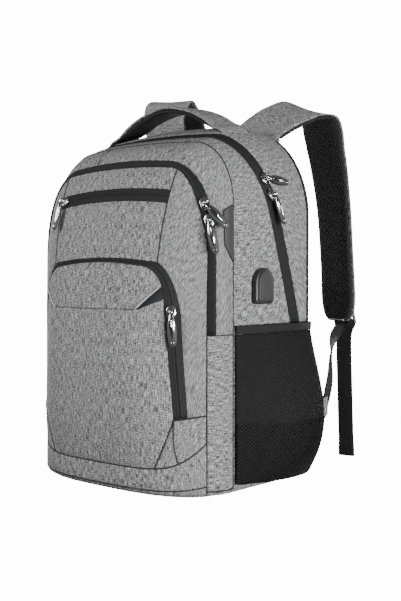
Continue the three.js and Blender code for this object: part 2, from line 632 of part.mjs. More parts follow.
// Ladder buckles, the webbing that runs through them, and the tabs on the back's lower corners
const BUCKLE = { width: 34, height: 26, depth: 5, slotWidth: 28, slotHeight: 6 };
const BUCKLE_PLACE = { x: 122, y: 220, z: 201, tilt: 0.25 };
const WEBBING = { width: 25, thickness: 1.6, apart: 1.2 };
const TAB = { width: 52, endWidth: 28 };
const buckleSlot = {
  x: BUCKLE_PLACE.x + BUCKLE.height / 4 * Math.sin(BUCKLE_PLACE.tilt),
  y: BUCKLE_PLACE.y,
  z: BUCKLE_PLACE.z - BUCKLE.height / 4 * Math.cos(BUCKLE_PLACE.tilt),
};
const throughSlot = { x: buckleSlot.x, acrossX: Math.cos(BUCKLE_PLACE.tilt), acrossY: 0, acrossZ: Math.sin(BUCKLE_PLACE.tilt) };
const lowerWebbingRows = [
  { x: 138.5, y: 146, z: 82, acrossX: 0.15, acrossY: -0.45, acrossZ: 0.87 },
  { x: 134, y: 166, z: 118, acrossX: 0.2, acrossY: -0.75, acrossZ: 0.4 },
  { x: 124.5, y: 184, z: 150, acrossX: 0.45, acrossY: -0.8, acrossZ: 0.3 },
  { x: 121, y: 203, z: 179, acrossX: 1, acrossY: -0.2, acrossZ: 0.15 },
  { ...throughSlot, y: buckleSlot.y - WEBBING.apart, z: buckleSlot.z },
];
const tailRows = [
  { ...throughSlot, y: buckleSlot.y + WEBBING.apart, z: buckleSlot.z },
  { ...throughSlot, y: buckleSlot.y + 6, z: buckleSlot.z - 1 },
  { x: buckleSlot.x - 6, y: buckleSlot.y + 8, z: buckleSlot.z - 18, acrossX: 1, acrossY: 0, acrossZ: 0.12 },
  { x: 120.5, y: buckleSlot.y + 5, z: 100, acrossX: 1, acrossY: 0, acrossZ: 0 },
  { x: 124, y: buckleSlot.y + 5, z: 2, acrossX: 1, acrossY: 0, acrossZ: 0 },
];
const tabRows = [
  { x: 143, y: 99, z: 70, acrossX: 0, acrossY: 0, acrossZ: 1 },
  { x: 142.5, y: 122, z: 74, acrossX: 0.1, acrossY: -0.3, acrossZ: 0.95 },
  { x: 141.5, y: 148, z: 84, acrossX: 0.2, acrossY: -0.45, acrossZ: 0.87 },
];
function rectangle(width, height, middle) {
  const [w, h] = [width / 2, height / 2];
  const corners = [[-w, middle - h], [w, middle - h], [w, middle + h], [-w, middle + h]];
  return corners.map(([x, z]) => new THREE.Vector2(x, z));
}
function buckleGeometry() {
  const frame = new THREE.Shape(rectangle(BUCKLE.width, BUCKLE.height, 0));
  for (const middle of [-BUCKLE.height / 4, BUCKLE.height / 4]) {
    frame.holes.push(new THREE.Path(rectangle(BUCKLE.slotWidth, BUCKLE.slotHeight, middle)));
  }
  const geometry = new THREE.ExtrudeGeometry(frame, { depth: BUCKLE.depth, bevelEnabled: false });
  return geometry.translate(0, 0, -BUCKLE.depth / 2).rotateX(Math.PI / 2);
}
for (const side of SIDES) {
  const { place, name } = side;
  const path = strapPath(strapRows[name]);
  const taper = (u) => Math.max(0, u - STRAP.taperFrom) / (1 - STRAP.taperFrom);
  const flare = (u) => Math.max(0, 1 - u / STRAP.rootTo);
  const width = (u) => lerp(lerp(STRAP.width, STRAP.endWidth, taper(u)), STRAP.rootWidth, flare(u));
  const padStops = stopsOf(24).map((k) => lerp(STRAP.padFrom, 1, k));
  const shape = { lanes: 3, width, place };
  const face = { ...shape, steps: [0, STRAP.padFrom / 2, ...padStops], low: GAP / 2, high: STRAP.face };
  addPiece(`strap_face_${name}`, strapLayer(path, face), 'canvas');
  const pad = { ...shape, steps: padStops, low: -STRAP.pad, high: -GAP / 2 };
  addPiece(`strap_pad_${name}`, strapLayer(path, pad), 'mesh');
  const half = WEBBING.thickness / 2;
  const webbing = { steps: 10, lanes: 2, width: WEBBING.width, low: -half, high: half, place };
  addPiece(`webbing_lower_${name}`, strapLayer(strapPath(lowerWebbingRows), webbing), 'black');
  addPiece(`webbing_tail_${name}`, strapLayer(strapPath(tailRows), webbing), 'black');
  const tab = { ...webbing, steps: 4, width: (u) => lerp(TAB.width, TAB.endWidth, u) };
  addPiece(`webbing_tab_${name}`, strapLayer(strapPath(tabRows), tab), 'canvas');
  const buckle = addPiece(`buckle_${name}`, buckleGeometry(), 'plastic');
  buckle.position.copy(place(new THREE.Vector3(BUCKLE_PLACE.x, BUCKLE_PLACE.y, BUCKLE_PLACE.z)));
  buckle.rotation.y = -BUCKLE_PLACE.tilt * Math.sign(buckle.position.x);
}

// Zip sliders, each with a puller that swings on a bar between two lugs
const SLIDER = {
  length: 15,
  width: 11,
  plate: 3.2,
  bar: 0.9,
  lug: 1.6,
  lugLength: 3.4,
  lugTop: 1.4,
  lugFoot: 0.4,
  lugGap: 5.4,
  axisHeight: 6.4,
};
const sliderCorners = [
  { across: 0.7, along: -1 },
  { across: 1, along: -0.4 },
  { across: 1, along: 0.5 },
  { across: 0.5, along: 1 },
];
const PULLER = { eye: 2.3, bore: 1.35, neckWidth: 4.6, neck: 9, width: 11, length: 40, thickness: 2.6 };
const pullerCorners = [
  { x: 0.4 * PULLER.width / 2, y: -PULLER.length },
  { x: PULLER.width / 2, y: 9 - PULLER.length },
  { x: PULLER.width / 2, y: -PULLER.neck - 4 },
  { x: PULLER.neckWidth / 2, y: 2 - PULLER.neck },
];

function solid(geometry) {
  const bare = geometry.clone();
  bare.deleteAttribute('normal');
  bare.deleteAttribute('uv');
  const merged = mergeVertices(bare, 1e-4);
  return new wasm.Manifold(new wasm.Mesh({
    numProp: 3,
    vertProperties: new Float32Array(merged.attributes.position.array),
    triVerts: new Uint32Array(merged.index.array),
  }));
}
function geometryOf(manifold) {
  const mesh = manifold.getMesh();
  const geometry = new THREE.BufferGeometry();
  geometry.setAttribute('position', new THREE.BufferAttribute(new Float32Array(mesh.vertProperties), 3));
  geometry.setIndex(Array.from(mesh.triVerts));
  return geometry;
}
function bar(radius, length, sides) {
  return new THREE.CylinderGeometry(radius, radius, length, sides).rotateZ(Math.PI / 2);
}
// A flat plate from the corners of its right half, from the foot up
function mirroredPlate(corners, depth) {
  const right = corners.map(({ x, y }) => new THREE.Vector2(x, y));
  const left = corners.map(({ x, y }) => new THREE.Vector2(-x, y)).reverse();
  const shape = new THREE.Shape([...right, ...left]);
  return new THREE.ExtrudeGeometry(shape, { depth, bevelEnabled: false });
}
function sliderGeometry(lean) {
  const [length, width] = [SLIDER.length / 2, SLIDER.width / 2];
  const floor = GAP - SLIDER.axisHeight;
  const corners = sliderCorners.map(({ across, along }) => ({ x: across * width, y: along * length }));
  const plate = mirroredPlate(corners, SLIDER.plate).translate(0, 0, floor).rotateZ(-lean);
  let body = solid(plate).add(solid(bar(SLIDER.bar, SLIDER.lugGap + SLIDER.lug, 8)));
  const lugHeight = SLIDER.lugTop - floor - SLIDER.plate + SLIDER.lugFoot;
  for (const end of [-1, 1]) {
    const lug = new THREE.BoxGeometry(SLIDER.lug, SLIDER.lugLength, lugHeight);
    lug.translate(end * (SLIDER.lugGap + SLIDER.lug) / 2, 0, SLIDER.lugTop - lugHeight / 2);
    body = body.add(solid(lug));
  }
  return geometryOf(body);
}
function pullerGeometry() {
  const { eye, bore, neckWidth, neck, thickness } = PULLER;
  const neckPlate = new THREE.BoxGeometry(neckWidth, neck, thickness).translate(0, -neck / 2, 0);
  const grip = mirroredPlate(pullerCorners, thickness).translate(0, 0, -thickness / 2);
  const body = solid(bar(eye, neckWidth, 12)).add(solid(neckPlate)).add(solid(grip));
  return geometryOf(body.subtract(solid(bar(bore, neckWidth + 2, 10))));
}

// The zip tapes as surfaces: k runs along the zip, f across it
const tapes = {
  main: (k, f) => mainShell(k, lerp(zipEdge(k, 1), zipEdge(k, -1), f)),
  second: (k, f) => between(SEAM.zipOuter, SEAM.zipInner, k, f, GUSSET_PUFF),
  front: (k, f) => middleFront(k, lerp(FRONT_ZIP.upper, FRONT_ZIP.lower, f)),
  pocket: (k, f) => {
    const outer = arch(POCKET.outer, k);
    const inner = arch(POCKET.inner, k);
    return frontPoint(lerp(outer.x, inner.x, f), lerp(outer.z, inner.z, f), POCKET.proud * f);
  },
};

// Where each slider stands along its zip, and how far its puller leans aside (degrees)
const SLIDERS = [
  { name: 'main_upper', tape: 'main', at: 0.288, lean: 62 },
  { name: 'main_lower', tape: 'main', at: 0.2695, lean: 0 },
  { name: 'second_upper', tape: 'second', at: 0.304, lean: 24 },
  { name: 'second_lower', tape: 'second', at: 0.2855, lean: 0 },
  { name: 'front', tape: 'front', at: 0.9275, lean: 0 },
  { name: 'pocket', tape: 'pocket', at: 0.2525, lean: 0 },
];
const step = 0.01;
for (const row of SLIDERS) {
  const tape = tapes[row.tape];
  const centre = tape(row.at, 0.5);
  const along = tape(row.at - step, 0.5).sub(tape(row.at + step, 0.5)).normalize();
  const acrossTape = tape(row.at, 0.8).sub(tape(row.at, 0.2));
  const outward = new THREE.Vector3().crossVectors(along, acrossTape).normalize();
  if (outward.dot(inward(centre)) > 0) outward.negate();
  const hangs = row.tape === 'front' ? new THREE.Vector3(0, 0, -1) : along;
  const lean = THREE.MathUtils.degToRad(row.lean);
  const flat = hangs.addScaledVector(outward, -hangs.dot(outward)).normalize();
  const down = flat.applyAxisAngle(outward, lean);
  const axis = new THREE.Vector3().crossVectors(outward, down).normalize();
  const group = new THREE.Group();
  group.quaternion.setFromRotationMatrix(new THREE.Matrix4().makeBasis(axis, down.negate(), outward));
  group.position.copy(centre).addScaledVector(outward, SLIDER.axisHeight);
  backpack.add(group);
  addPiece(`slider_${row.name}`, sliderGeometry(lean), 'metal', group);
  addPiece(`puller_${row.name}`, pullerGeometry(), 'metal', group);
}

export default backpack;
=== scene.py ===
import math

import bmesh
import bpy
from mathutils import Matrix, Vector, noise


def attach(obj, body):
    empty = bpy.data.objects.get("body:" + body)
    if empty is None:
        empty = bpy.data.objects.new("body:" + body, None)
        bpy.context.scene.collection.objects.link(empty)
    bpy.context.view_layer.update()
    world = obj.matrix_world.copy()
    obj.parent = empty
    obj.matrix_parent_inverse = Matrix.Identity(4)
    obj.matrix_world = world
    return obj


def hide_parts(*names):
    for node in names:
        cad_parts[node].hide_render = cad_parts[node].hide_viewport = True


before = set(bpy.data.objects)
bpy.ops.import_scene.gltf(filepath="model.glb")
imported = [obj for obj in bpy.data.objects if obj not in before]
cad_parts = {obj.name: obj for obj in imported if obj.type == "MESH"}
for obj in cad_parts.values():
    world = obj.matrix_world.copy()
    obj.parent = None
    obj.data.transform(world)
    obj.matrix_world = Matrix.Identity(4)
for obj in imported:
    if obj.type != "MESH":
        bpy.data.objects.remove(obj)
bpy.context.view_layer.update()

# Camera
# A standard lens a little above half the bag's height, turned to the bag's right front corner.
MM = 0.001
scene = bpy.context.scene
turn = math.radians(40.7)
tilt = math.radians(1.63)
camera_data = bpy.data.cameras.new("camera")
camera_data.sensor_width = 36
camera_data.lens = 58.2
camera = bpy.data.objects.new("camera", camera_data)
scene.collection.objects.link(camera)
camera.location = Vector((865.8, -957.1, 262.8)) * MM
sight = Vector((-math.sin(turn), math.cos(turn), -math.tan(tilt)))
camera.rotation_euler = sight.to_track_quat("-Z", "Y").to_euler()
scene.camera = camera

# Studio
# A white floor that runs into a white backdrop. The camera sees both overexposed, as in a shop photo,
# while the bag is lit by a dim sky and four softboxes: a wide one low on its right, a small one
# in front of it, and one each for its left side and its back.
SKY_LIGHT = 0.1
BACKDROP_LIGHT = 14
WHITE = (1, 1, 1, 1)
FLOOR = {"grey": 0.06, "roughness": 0.9, "radius": 30, "drop": 0.0004}
LAMP_AIM = Vector((0, 0, 0.2))
world = bpy.data.worlds.new("white_sky")
scene.world = world
world.use_nodes = True
sky_nodes = world.node_tree.nodes
sky_links = world.node_tree.links
sky = sky_nodes["Background"]
backdrop = sky_nodes.new("ShaderNodeBackground")
for part, strength in ((sky, SKY_LIGHT), (backdrop, BACKDROP_LIGHT)):
    part.inputs["Strength"].default_value = strength
    part.inputs["Color"].default_value = WHITE
seen = sky_nodes.new("ShaderNodeLightPath")
choice = sky_nodes.new("ShaderNodeMixShader")
sky_links.new(seen.outputs["Is Camera Ray"], choice.inputs[0])
sky_links.new(sky.outputs[0], choice.inputs[1])
sky_links.new(backdrop.outputs[0], choice.inputs[2])
sky_links.new(choice.outputs[0], sky_nodes["World Output"].inputs["Surface"])

floor_paint = bpy.data.materials.new("floor_white")
floor_paint.use_nodes = True
floor_nodes = floor_paint.node_tree.nodes
floor_shader = floor_nodes["Principled BSDF"]
floor_shader.inputs["Base Color"].default_value = (FLOOR["grey"], FLOOR["grey"], FLOOR["grey"], 1)
floor_shader.inputs["Roughness"].default_value = FLOOR["roughness"]
floor_shader.inputs["Specular IOR Level"].default_value = 0
floor_shader.inputs["Emission Color"].default_value = WHITE
floor_seen = floor_nodes.new("ShaderNodeLightPath")
glow = floor_nodes.new("ShaderNodeMath")
glow.operation = "MULTIPLY"
glow.inputs[1].default_value = BACKDROP_LIGHT
floor_paint.node_tree.links.new(floor_seen.outputs["Is Camera Ray"], glow.inputs[0])
floor_paint.node_tree.links.new(glow.outputs[0], floor_shader.inputs["Emission Strength"])
floor_mesh = bpy.data.meshes.new("floor")
floor_bm = bmesh.new()
bmesh.ops.create_circle(floor_bm, cap_ends=True, segments=96, radius=FLOOR["radius"])
bmesh.ops.translate(floor_bm, verts=floor_bm.verts, vec=(0, 0, -FLOOR["drop"]))
floor_bm.to_mesh(floor_mesh)
floor_bm.free()
floor_mesh.materials.append(floor_paint)
floor = bpy.data.objects.new("floor", floor_mesh)
scene.collection.objects.link(floor)

LAMPS = [
    {"name": "key", "place": (2.05, -0.52, 0.2), "width": 1.6, "height": 0.36, "power": 90},
    {"name": "fill", "place": (-0.3, -1.05, 0.62), "width": 0.6, "height": 0.6, "power": 13},
    {"name": "left", "place": (-1.9, 0.75, 0.45), "width": 1.4, "height": 0.8, "power": 64},
    {"name": "rear", "place": (-0.5, 2.1, 0.42), "width": 1.5, "height": 0.7, "power": 66},
]
for row in LAMPS:
    lamp_data = bpy.data.lights.new(row["name"], "AREA")
    lamp_data.shape = "RECTANGLE"
    lamp_data.size = row["width"]
    lamp_data.size_y = row["height"]
    lamp_data.energy = row["power"]
    lamp = bpy.data.objects.new(row["name"], lamp_data)
    scene.collection.objects.link(lamp)
    lamp.location = row["place"]
    aim = LAMP_AIM - lamp.location
    lamp.rotation_euler = aim.to_track_quat("-Z", "Y").to_euler()

# Lower side walls
# Heather grey polyester canvas, woven from light and dark yarn. The walls behind the side nets
# are sewn to the base below and to the gussets above.
HEART_LOW = Vector((-80, -60, 40))
HEART_HIGH = Vector((80, 50, 350))
BASE_ROUND = 10
FOOT = 1
SHOULDER = 330
LEVEL = {"height": 200, "share": 5 / 8}
STRAIGHT = 0.25
TURN = 0.4
SEAM_BACK = {"y": 90, "half": 148.5, "top": 453, "corner": 92, "crown": 3}
SEAM_PIPING = {"y": -65, "half": 150, "top": 426, "corner": 62, "crown": 4, "shoulder": 345}
SIDE_PUFF = 4
ROOF_PUFF = 12
ROOF_SHARE = 0.25
MAIN_ZIP_END = 199
CLOTH = 1.3
SEAM_ROLL = 1.7
ROLL_STOPS = [0, 0.2, 0.45, 0.75, 1.1, 1.8]
DRAW = {"dip": 0.9, "reach": 7}
RIPPLE = {"per_mm": 0.021, "reach": 14}
PUCKER = {"per_mm": 0.11, "reach": 10, "height": 0.45, "from": 3}
FAR = 1e3


def lerp(a, b, share):
    return a + (b - a) * share


def clamp(value, low=0.0, high=1.0):
    return max(low, min(high, value))


def inward(p):
    towards = Vector(clamp(p[k], HEART_LOW[k], HEART_HIGH[k]) - p[k] for k in range(3))
    return towards.normalized()


def tuck_under(p):
    if p.z >= BASE_ROUND:
        return p
    drop = BASE_ROUND - max(p.z, 0)
    depth = BASE_ROUND - math.sqrt(BASE_ROUND**2 - drop**2)
    towards = inward(p)
    towards.z = 0
    return p + towards.normalized() * depth


def side_height(row, share):
    """The height along an arch's straight side: the body's seams are level with each other at first."""
    shoulder = row.get("shoulder", SHOULDER)
    if "flare" in row:
        return lerp(FOOT, shoulder, share)
    if share <= LEVEL["share"]:
        return lerp(FOOT, LEVEL["height"], share / LEVEL["share"])
    return lerp(LEVEL["height"], shoulder, (share - LEVEL["share"]) / (1 - LEVEL["share"]))


def at_height(row, z):
    shoulder = row.get("shoulder", SHOULDER)
    if "flare" in row:
        share = (z - FOOT) / (shoulder - FOOT)
    elif z <= LEVEL["height"]:
        share = LEVEL["share"] * (z - FOOT) / (LEVEL["height"] - FOOT)
    else:
        share = lerp(LEVEL["share"], 1, (z - LEVEL["height"]) / (shoulder - LEVEL["height"]))
    return STRAIGHT * share


def arch(row, t):
    """A point (x, z) of an arch, from its right foot at 0 over the crown at 0.5 to its left foot at 1:
    a straight side up to STRAIGHT, a rounded corner up to TURN, then half of a shallow crown."""
    climb = min(t, 1 - t)
    shoulder = row.get("shoulder", SHOULDER)
    eave = row["top"] - row["crown"]
    if climb <= STRAIGHT:
        x = row["half"] + row.get("flare", 0) * (1 - climb / STRAIGHT)
        z = side_height(row, climb / STRAIGHT)
    elif climb <= TURN:
        angle = (climb - STRAIGHT) / (TURN - STRAIGHT) * math.pi / 2
        x = row["half"] + row["corner"] * (math.cos(angle) - 1)
        z = shoulder + (eave - shoulder) * math.sin(angle)
    else:
        from_crown = (0.5 - climb) / (0.5 - TURN)
        x = (row["half"] - row["corner"]) * from_crown
        z = eave + row["crown"] * (1 - from_crown**2)
    return (x if t <= 0.5 else -x), z


def seam_point(row, t):
    x, z = arch(row, t)
    y = row["y"] if "y" in row else front_y(x, z)
    return Vector((x, y, z))


def between(first, second, t, f, puff):
    p = seam_point(first, t).lerp(seam_point(second, t), f)
    towards = inward(p)
    if p.z < SHOULDER:
        towards.z = 0
        towards.normalize()
    return tuck_under(p - towards * (puff * math.sin(math.pi * f)))


def main_shell(t, f):
    past = 2 * (min(t, 1 - t) - STRAIGHT)
    roof = clamp(past / ROOF_SHARE) ** 2
    return between(SEAM_BACK, SEAM_PIPING, t, f, lerp(SIDE_PUFF, ROOF_PUFF, roof))


def mirrored(p):
    return Vector((-p.x, p.y, p.z))


SIDES = [("right", lambda p: p), ("left", mirrored)]


def line_length(line, samples=14):
    points = [line(k / samples) for k in range(samples + 1)]
    return sum((b - a).length for a, b in zip(points, points[1:]))


def edge_stops(length, step):
    """Places along an edge, close together where the cloth rolls into the seams at both ends."""
    close = [SEAM_ROLL * stop for stop in ROLL_STOPS]
    count = max(1, round((length - 2 * close[-1]) / step))
    middle = [lerp(close[-1], length - close[-1], k / count) for k in range(1, count)]
    every = close + middle + [length - d for d in reversed(close)]
    return [d / length for d in every]


def level_chart(width, height):
    return lambda u, v: (u * width, v * height)


def mapped_grid(columns, rows, place, chart):
    """A grid laid onto a surface: place(u, v) gives each point, chart(u, v) its spot on the flat cloth."""
    bm = bmesh.new()
    uv = bm.loops.layers.uv.new("cloth")
    bmesh.ops.create_grid(bm, x_segments=len(columns) - 1, y_segments=len(rows) - 1, size=0.5)
    spot = {}
    for vert in bm.verts:
        i = round((vert.co.x + 0.5) * (len(columns) - 1))
        j = round((vert.co.y + 0.5) * (len(rows) - 1))
        spot[vert] = (columns[i], rows[j])
    for face in bm.faces:
        for loop in face.loops:
            u, v = spot[loop.vert]
            along, across = chart(u, v)
            loop[uv].uv = (along * MM, across * MM)
    for vert, (u, v) in spot.items():
        vert.co = place(u, v)
    return bm


def face_outwards(bm):
    bm.normal_update()
    score = sum(face.normal.dot(inward(face.calc_center_median())) for face in bm.faces)
    if score > 0:
        bmesh.ops.reverse_faces(bm, faces=bm.faces)


def cloth_grid(surface, step=6.5, ripple=0.7, seams="uv", sink=0.0, seed=0.0):
    """A sewn panel: its edges roll into their seams, and between them it swells and ripples."""
    width = line_length(lambda k: surface(k, 0.5))
    height = line_length(lambda k: surface(0.5, k))
    columns = edge_stops(width, step)
    rows = edge_stops(height, step)
    width_at = {v: line_length(lambda k: surface(k, v), 8) for v in rows}
    height_at = {u: line_length(lambda k: surface(u, k), 6) for u in columns}

    def place(u, v):
        p = surface(u, v)
        across = min(u, 1 - u) * width_at[v] if "u" in seams else FAR
        along = min(v, 1 - v) * height_at[u] if "v" in seams else FAR
        edge = min(across, along)
        depth = sink + DRAW["dip"] * math.exp(-edge / DRAW["reach"])
        if edge < SEAM_ROLL:
            depth += SEAM_ROLL * (1 - math.sqrt(1 - (1 - edge / SEAM_ROLL) ** 2))
        free = 1 - math.exp(-edge / RIPPLE["reach"])
        depth += ripple * free * noise.noise(p * RIPPLE["per_mm"] + Vector((seed, 0, 0)))
        run = u * width if along < across else v * height
        pucker = PUCKER["height"] * ripple * noise.noise(Vector((run * PUCKER["per_mm"], seed, 7)))
        depth += pucker * math.exp(-edge / PUCKER["reach"]) * clamp(edge / PUCKER["from"])
        return p + inward(p) * depth

    def chart(u, v):
        return (u - 0.5) * width_at[v], (v - 0.5) * height_at[u]

    bm = mapped_grid(columns, rows, place, chart)
    face_outwards(bm)
    return bm


def add_piece(bm, name, material, slot, nodes=(), body="bag", wall=0.0):
    bmesh.ops.scale(bm, verts=bm.verts, vec=(MM, MM, MM))
    mesh = bpy.data.meshes.new(name)
    bm.to_mesh(mesh)
    bm.free()
    mesh.shade_smooth()
    mesh.materials.append(material)
    piece = bpy.data.objects.new(name, mesh)
    scene.collection.objects.link(piece)
    if wall:
        thickness = piece.modifiers.new("wall", "SOLIDIFY")
        thickness.thickness = wall * MM
        thickness.offset = -1
    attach(piece, body)
    if nodes:
        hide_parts(*nodes)
    return piece


def new_material(name, roughness, **sockets):
    material = bpy.data.materials.new(name)
    material.use_nodes = True
    shader = material.node_tree.nodes["Principled BSDF"]
    shader.inputs["Roughness"].default_value = roughness
    for socket, value in sockets.items():
        shader.inputs[socket.replace("_", " ")].default_value = value
    return material


def new_node(material, kind, inputs=None, **settings):
    """A shader node: inputs maps socket names or numbers to values or to other nodes' outputs."""
    tree = material.node_tree
    made = tree.nodes.new(kind)
    for key, value in settings.items():
        setattr(made, key, value)
    for socket, value in (inputs or {}).items():
        if isinstance(value, bpy.types.NodeSocket):
            tree.links.new(value, made.inputs[socket])
        else:
            made.inputs[socket].default_value = value
    return made


def scaled_uv(material, scale, turn_deg=0.0):
    place = new_node(material, "ShaderNodeUVMap", uv_map="cloth").outputs["UV"]
    inputs = {"Vector": place, "Scale": scale, "Rotation": (0, 0, math.radians(turn_deg))}
    return new_node(material, "ShaderNodeMapping", inputs).outputs[0]


def speckle(material, place, **inputs):
    return new_node(material, "ShaderNodeTexNoise", {"Vector": place, "Scale": 1.0, **inputs}).outputs["Fac"]


COOL_TINT = 1.01


def colour_steps(material, factor, steps):
    """Greys, a touch cool, at their places along a factor."""
    ramp = new_node(material, "ShaderNodeValToRGB", {"Fac": factor})
    band = ramp.color_ramp
    while len(band.elements) < len(steps):
        band.elements.new(0.5)
    for element, (position, grey) in zip(band.elements, steps):
        element.position = position
        element.color = (grey, grey, grey * COOL_TINT, 1)
    return ramp.outputs["Color"]


def arithmetic(material, operation, first, second=0.5):
    return new_node(material, "ShaderNodeMath", {0: first, 1: second}, operation=operation).outputs[0]


def into_shader(material, colour, height, depth, strength):
    """Colour and relief for a material; depth is the relief's height in metres."""
    shader = material.node_tree.nodes["Principled BSDF"]
    relief = {"Height": height, "Distance": depth, "Strength": strength}
    bump = new_node(material, "ShaderNodeBump", relief)
    material.node_tree.links.new(colour, shader.inputs["Base Color"])
    material.node_tree.links.new(bump.outputs["Normal"], shader.inputs["Normal"])


YARN = {"pitch": 0.85, "warp_slub": 10, "weft_slub": 4.5}
CANVAS_TONES = [(0.38, 0.04), (0.46, 0.115), (0.54, 0.22), (0.64, 0.46)]
WEAVE = {"depth": 0.0004, "strength": 0.3}


def heather_canvas(name):
    material = new_material(name, 0.9, Sheen_Weight=0.02, Sheen_Roughness=0.5, Specular_IOR_Level=0.12)
    fine = 1 / (YARN["pitch"] * MM)
    warp = scaled_uv(material, (fine, 1 / (YARN["warp_slub"] * MM), 1))
    weft = scaled_uv(material, (1 / (YARN["weft_slub"] * MM), fine, 1))
    warp_tone = speckle(material, warp, Detail=1.0)
    weft_tone = speckle(material, weft, Detail=1.0)
    yarn = arithmetic(material, "MULTIPLY", arithmetic(material, "ADD", warp_tone, weft_tone), 0.5)
    tone = colour_steps(material, yarn, CANVAS_TONES)
    into_shader(material, tone, yarn, WEAVE["depth"], WEAVE["strength"])
    return material


canvas = heather_canvas("heather_canvas")
zip_start = at_height(SEAM_BACK, MAIN_ZIP_END)


def sew_panel(name, node, surface, **cut):
    add_piece(cloth_grid(surface, **cut), name, canvas, "canvas", [node], wall=CLOTH)


def sew_pair(name, surface, **cut):
    for side, place in SIDES:
        sew_panel(f"{name}_canvas_{side}", f"{name}_{side}", lambda u, v: place(surface(u, v)), **cut)


sew_pair("lower_side", lambda u, v: main_shell(lerp(0, zip_start, u), v), step=9)

# Base
# A stiffened canvas plate that the bag stands on, sewn all round to the foot of the walls
# and of the bumper.
FRONT = {"half": 150, "corner_y": -40, "reach": 103, "level": 208, "roof": 438, "lean": 2.2, "round": 3}
BUMPER_HALF = 139
BASE = {"thickness": 3, "inset": 3.4, "steps": 24}


def front_y(x, z):
    rise = clamp((z - FRONT["level"]) / (FRONT["roof"] - FRONT["level"]))
    reach = FRONT["reach"] * (1 - rise ** FRONT["lean"]) ** (1 / FRONT["lean"])
    aside = min(1, abs(x) / FRONT["half"])
    return FRONT["corner_y"] - reach * (1 - aside ** FRONT["round"]) ** (1 / FRONT["round"])


def front_point(x, z, proud=0.0):
    return tuck_under(Vector((x, front_y(x, z) - proud, z)))


def bumper_x(u):
    return BUMPER_HALF * math.cos(math.pi * u)


base_rim = [front_point(-bumper_x(k / BASE["steps"]), FOOT) for k in range(BASE["steps"] + 1)]
base_feet = [tuck_under(seam_point(row, 0)) for row in (SEAM_PIPING, SEAM_BACK)]
base_rim += base_feet + [mirrored(p) for p in reversed(base_feet)]
base_bm = bmesh.new()
uv_layer = base_bm.loops.layers.uv.new("cloth")
base_verts = []
for p in base_rim:
    pull = inward(p)
    pull.z = 0
    spot = p + pull.normalized() * BASE["inset"]
    base_verts.append(base_bm.verts.new((spot.x, spot.y, 0)))
bottom = base_bm.faces.new(base_verts)
bmesh.ops.recalc_face_normals(base_bm, faces=base_bm.faces)
raised = bmesh.ops.extrude_face_region(base_bm, geom=[bottom])
lifted = [item for item in raised["geom"] if isinstance(item, bmesh.types.BMVert)]
bmesh.ops.translate(base_bm, verts=lifted, vec=(0, 0, BASE["thickness"]))
bmesh.ops.recalc_face_normals(base_bm, faces=base_bm.faces)
for face in base_bm.faces:
    for loop in face.loops:
        loop[uv_layer].uv = (loop.vert.co.x * MM, (loop.vert.co.y + loop.vert.co.z) * MM)
base_piece = add_piece(base_bm, "base_canvas", canvas, "canvas", ["base"])
base_piece.data.shade_flat()

# Back panel
# The padded side that lies against the wearer: foam under black spacer net, quilted in upright
# channels and sewn all round into the piped seam at the back.
BACK = {"pad": 9, "rim": 0.35, "share": 6, "edge": 1, "foot_draw": 8, "foot_reach": 8}
BACK_CLOTH = {"width": 296, "height": 442, "cell": 5.0}
GAP = 0.4
CHANNELS = {"x": (-52, 52), "width": 7, "depth": 6}


def spacer_net(name, cell, light, dark):
    """Knitted net over foam: a lattice of threads with dark holes between them."""
    material = new_material(name, 0.85, Specular_IOR_Level=0.15)
    turned = scaled_uv(material, (1 / (cell * MM), 1 / (cell * MM), 1), 45)
    parts = new_node(material, "ShaderNodeSeparateXYZ", {0: turned})
    ways = []
    for axis in (0, 1):
        angle = arithmetic(material, "MULTIPLY", parts.outputs[axis], 2 * math.pi)
        ways.append(arithmetic(material, "SINE", angle))
    lattice = arithmetic(material, "MAXIMUM", ways[0], ways[1])
    raised_net = arithmetic(material, "MULTIPLY_ADD", lattice, 0.5)
    steps = [(0.45, dark), (0.8, light)]
    into_shader(material, colour_steps(material, raised_net, steps), raised_net, 0.0012, 0.9)
    return material


def arch_top(row, x):
    shoulder = row.get("shoulder", SHOULDER)
    flat = row["half"] - row["corner"]
    eave = row["top"] - row["crown"]
    if abs(x) <= flat:
        return eave + row["crown"] * (1 - (x / flat) ** 2)
    past = min(1, (abs(x) - flat) / row["corner"])
    return shoulder + (eave - shoulder) * math.sqrt(1 - past**2)


def back_face(u, v, depth):
    across = math.sin(lerp(-math.pi / 2, math.pi / 2, u))
    drawn = BACK["foot_draw"] * (1 - v) ** BACK["foot_reach"]
    x = across * (SEAM_BACK["half"] - BACK["edge"] - drawn)
    z = lerp(FOOT, arch_top(SEAM_BACK, x), v)
    crown = (1 - abs(across) ** BACK["share"]) * (1 - abs(2 * v - 1) ** BACK["share"])
    swell = depth * lerp(BACK["rim"], 1, crown)
    for channel in CHANNELS["x"]:
        near = math.exp(-(((x - channel) / CHANNELS["width"]) ** 2))
        swell -= CHANNELS["depth"] * near * crown * depth / BACK["pad"]
    return Vector((x, SEAM_BACK["y"] + GAP + swell, z))


def joined(bm, other):
    spare = bpy.data.meshes.new("spare")
    other.to_mesh(spare)
    other.free()
    bm.from_mesh(spare)
    bpy.data.meshes.remove(spare)


def padded_sheet(outer, inner, columns, rows, width, height):
    """Two layers of a grid joined round their rims into one closed pad."""
    bm = mapped_grid(columns, rows, outer, level_chart(width, height))
    under = mapped_grid(columns, rows, inner, level_chart(width, height))
    bmesh.ops.reverse_faces(under, faces=under.faces)
    joined(bm, under)
    rims = [edge for edge in bm.edges if edge.is_boundary]
    bmesh.ops.bridge_loops(bm, edges=rims)
    bmesh.ops.recalc_face_normals(bm, faces=bm.faces)
    return bm


def even(count):
    return [k / count for k in range(count + 1)]


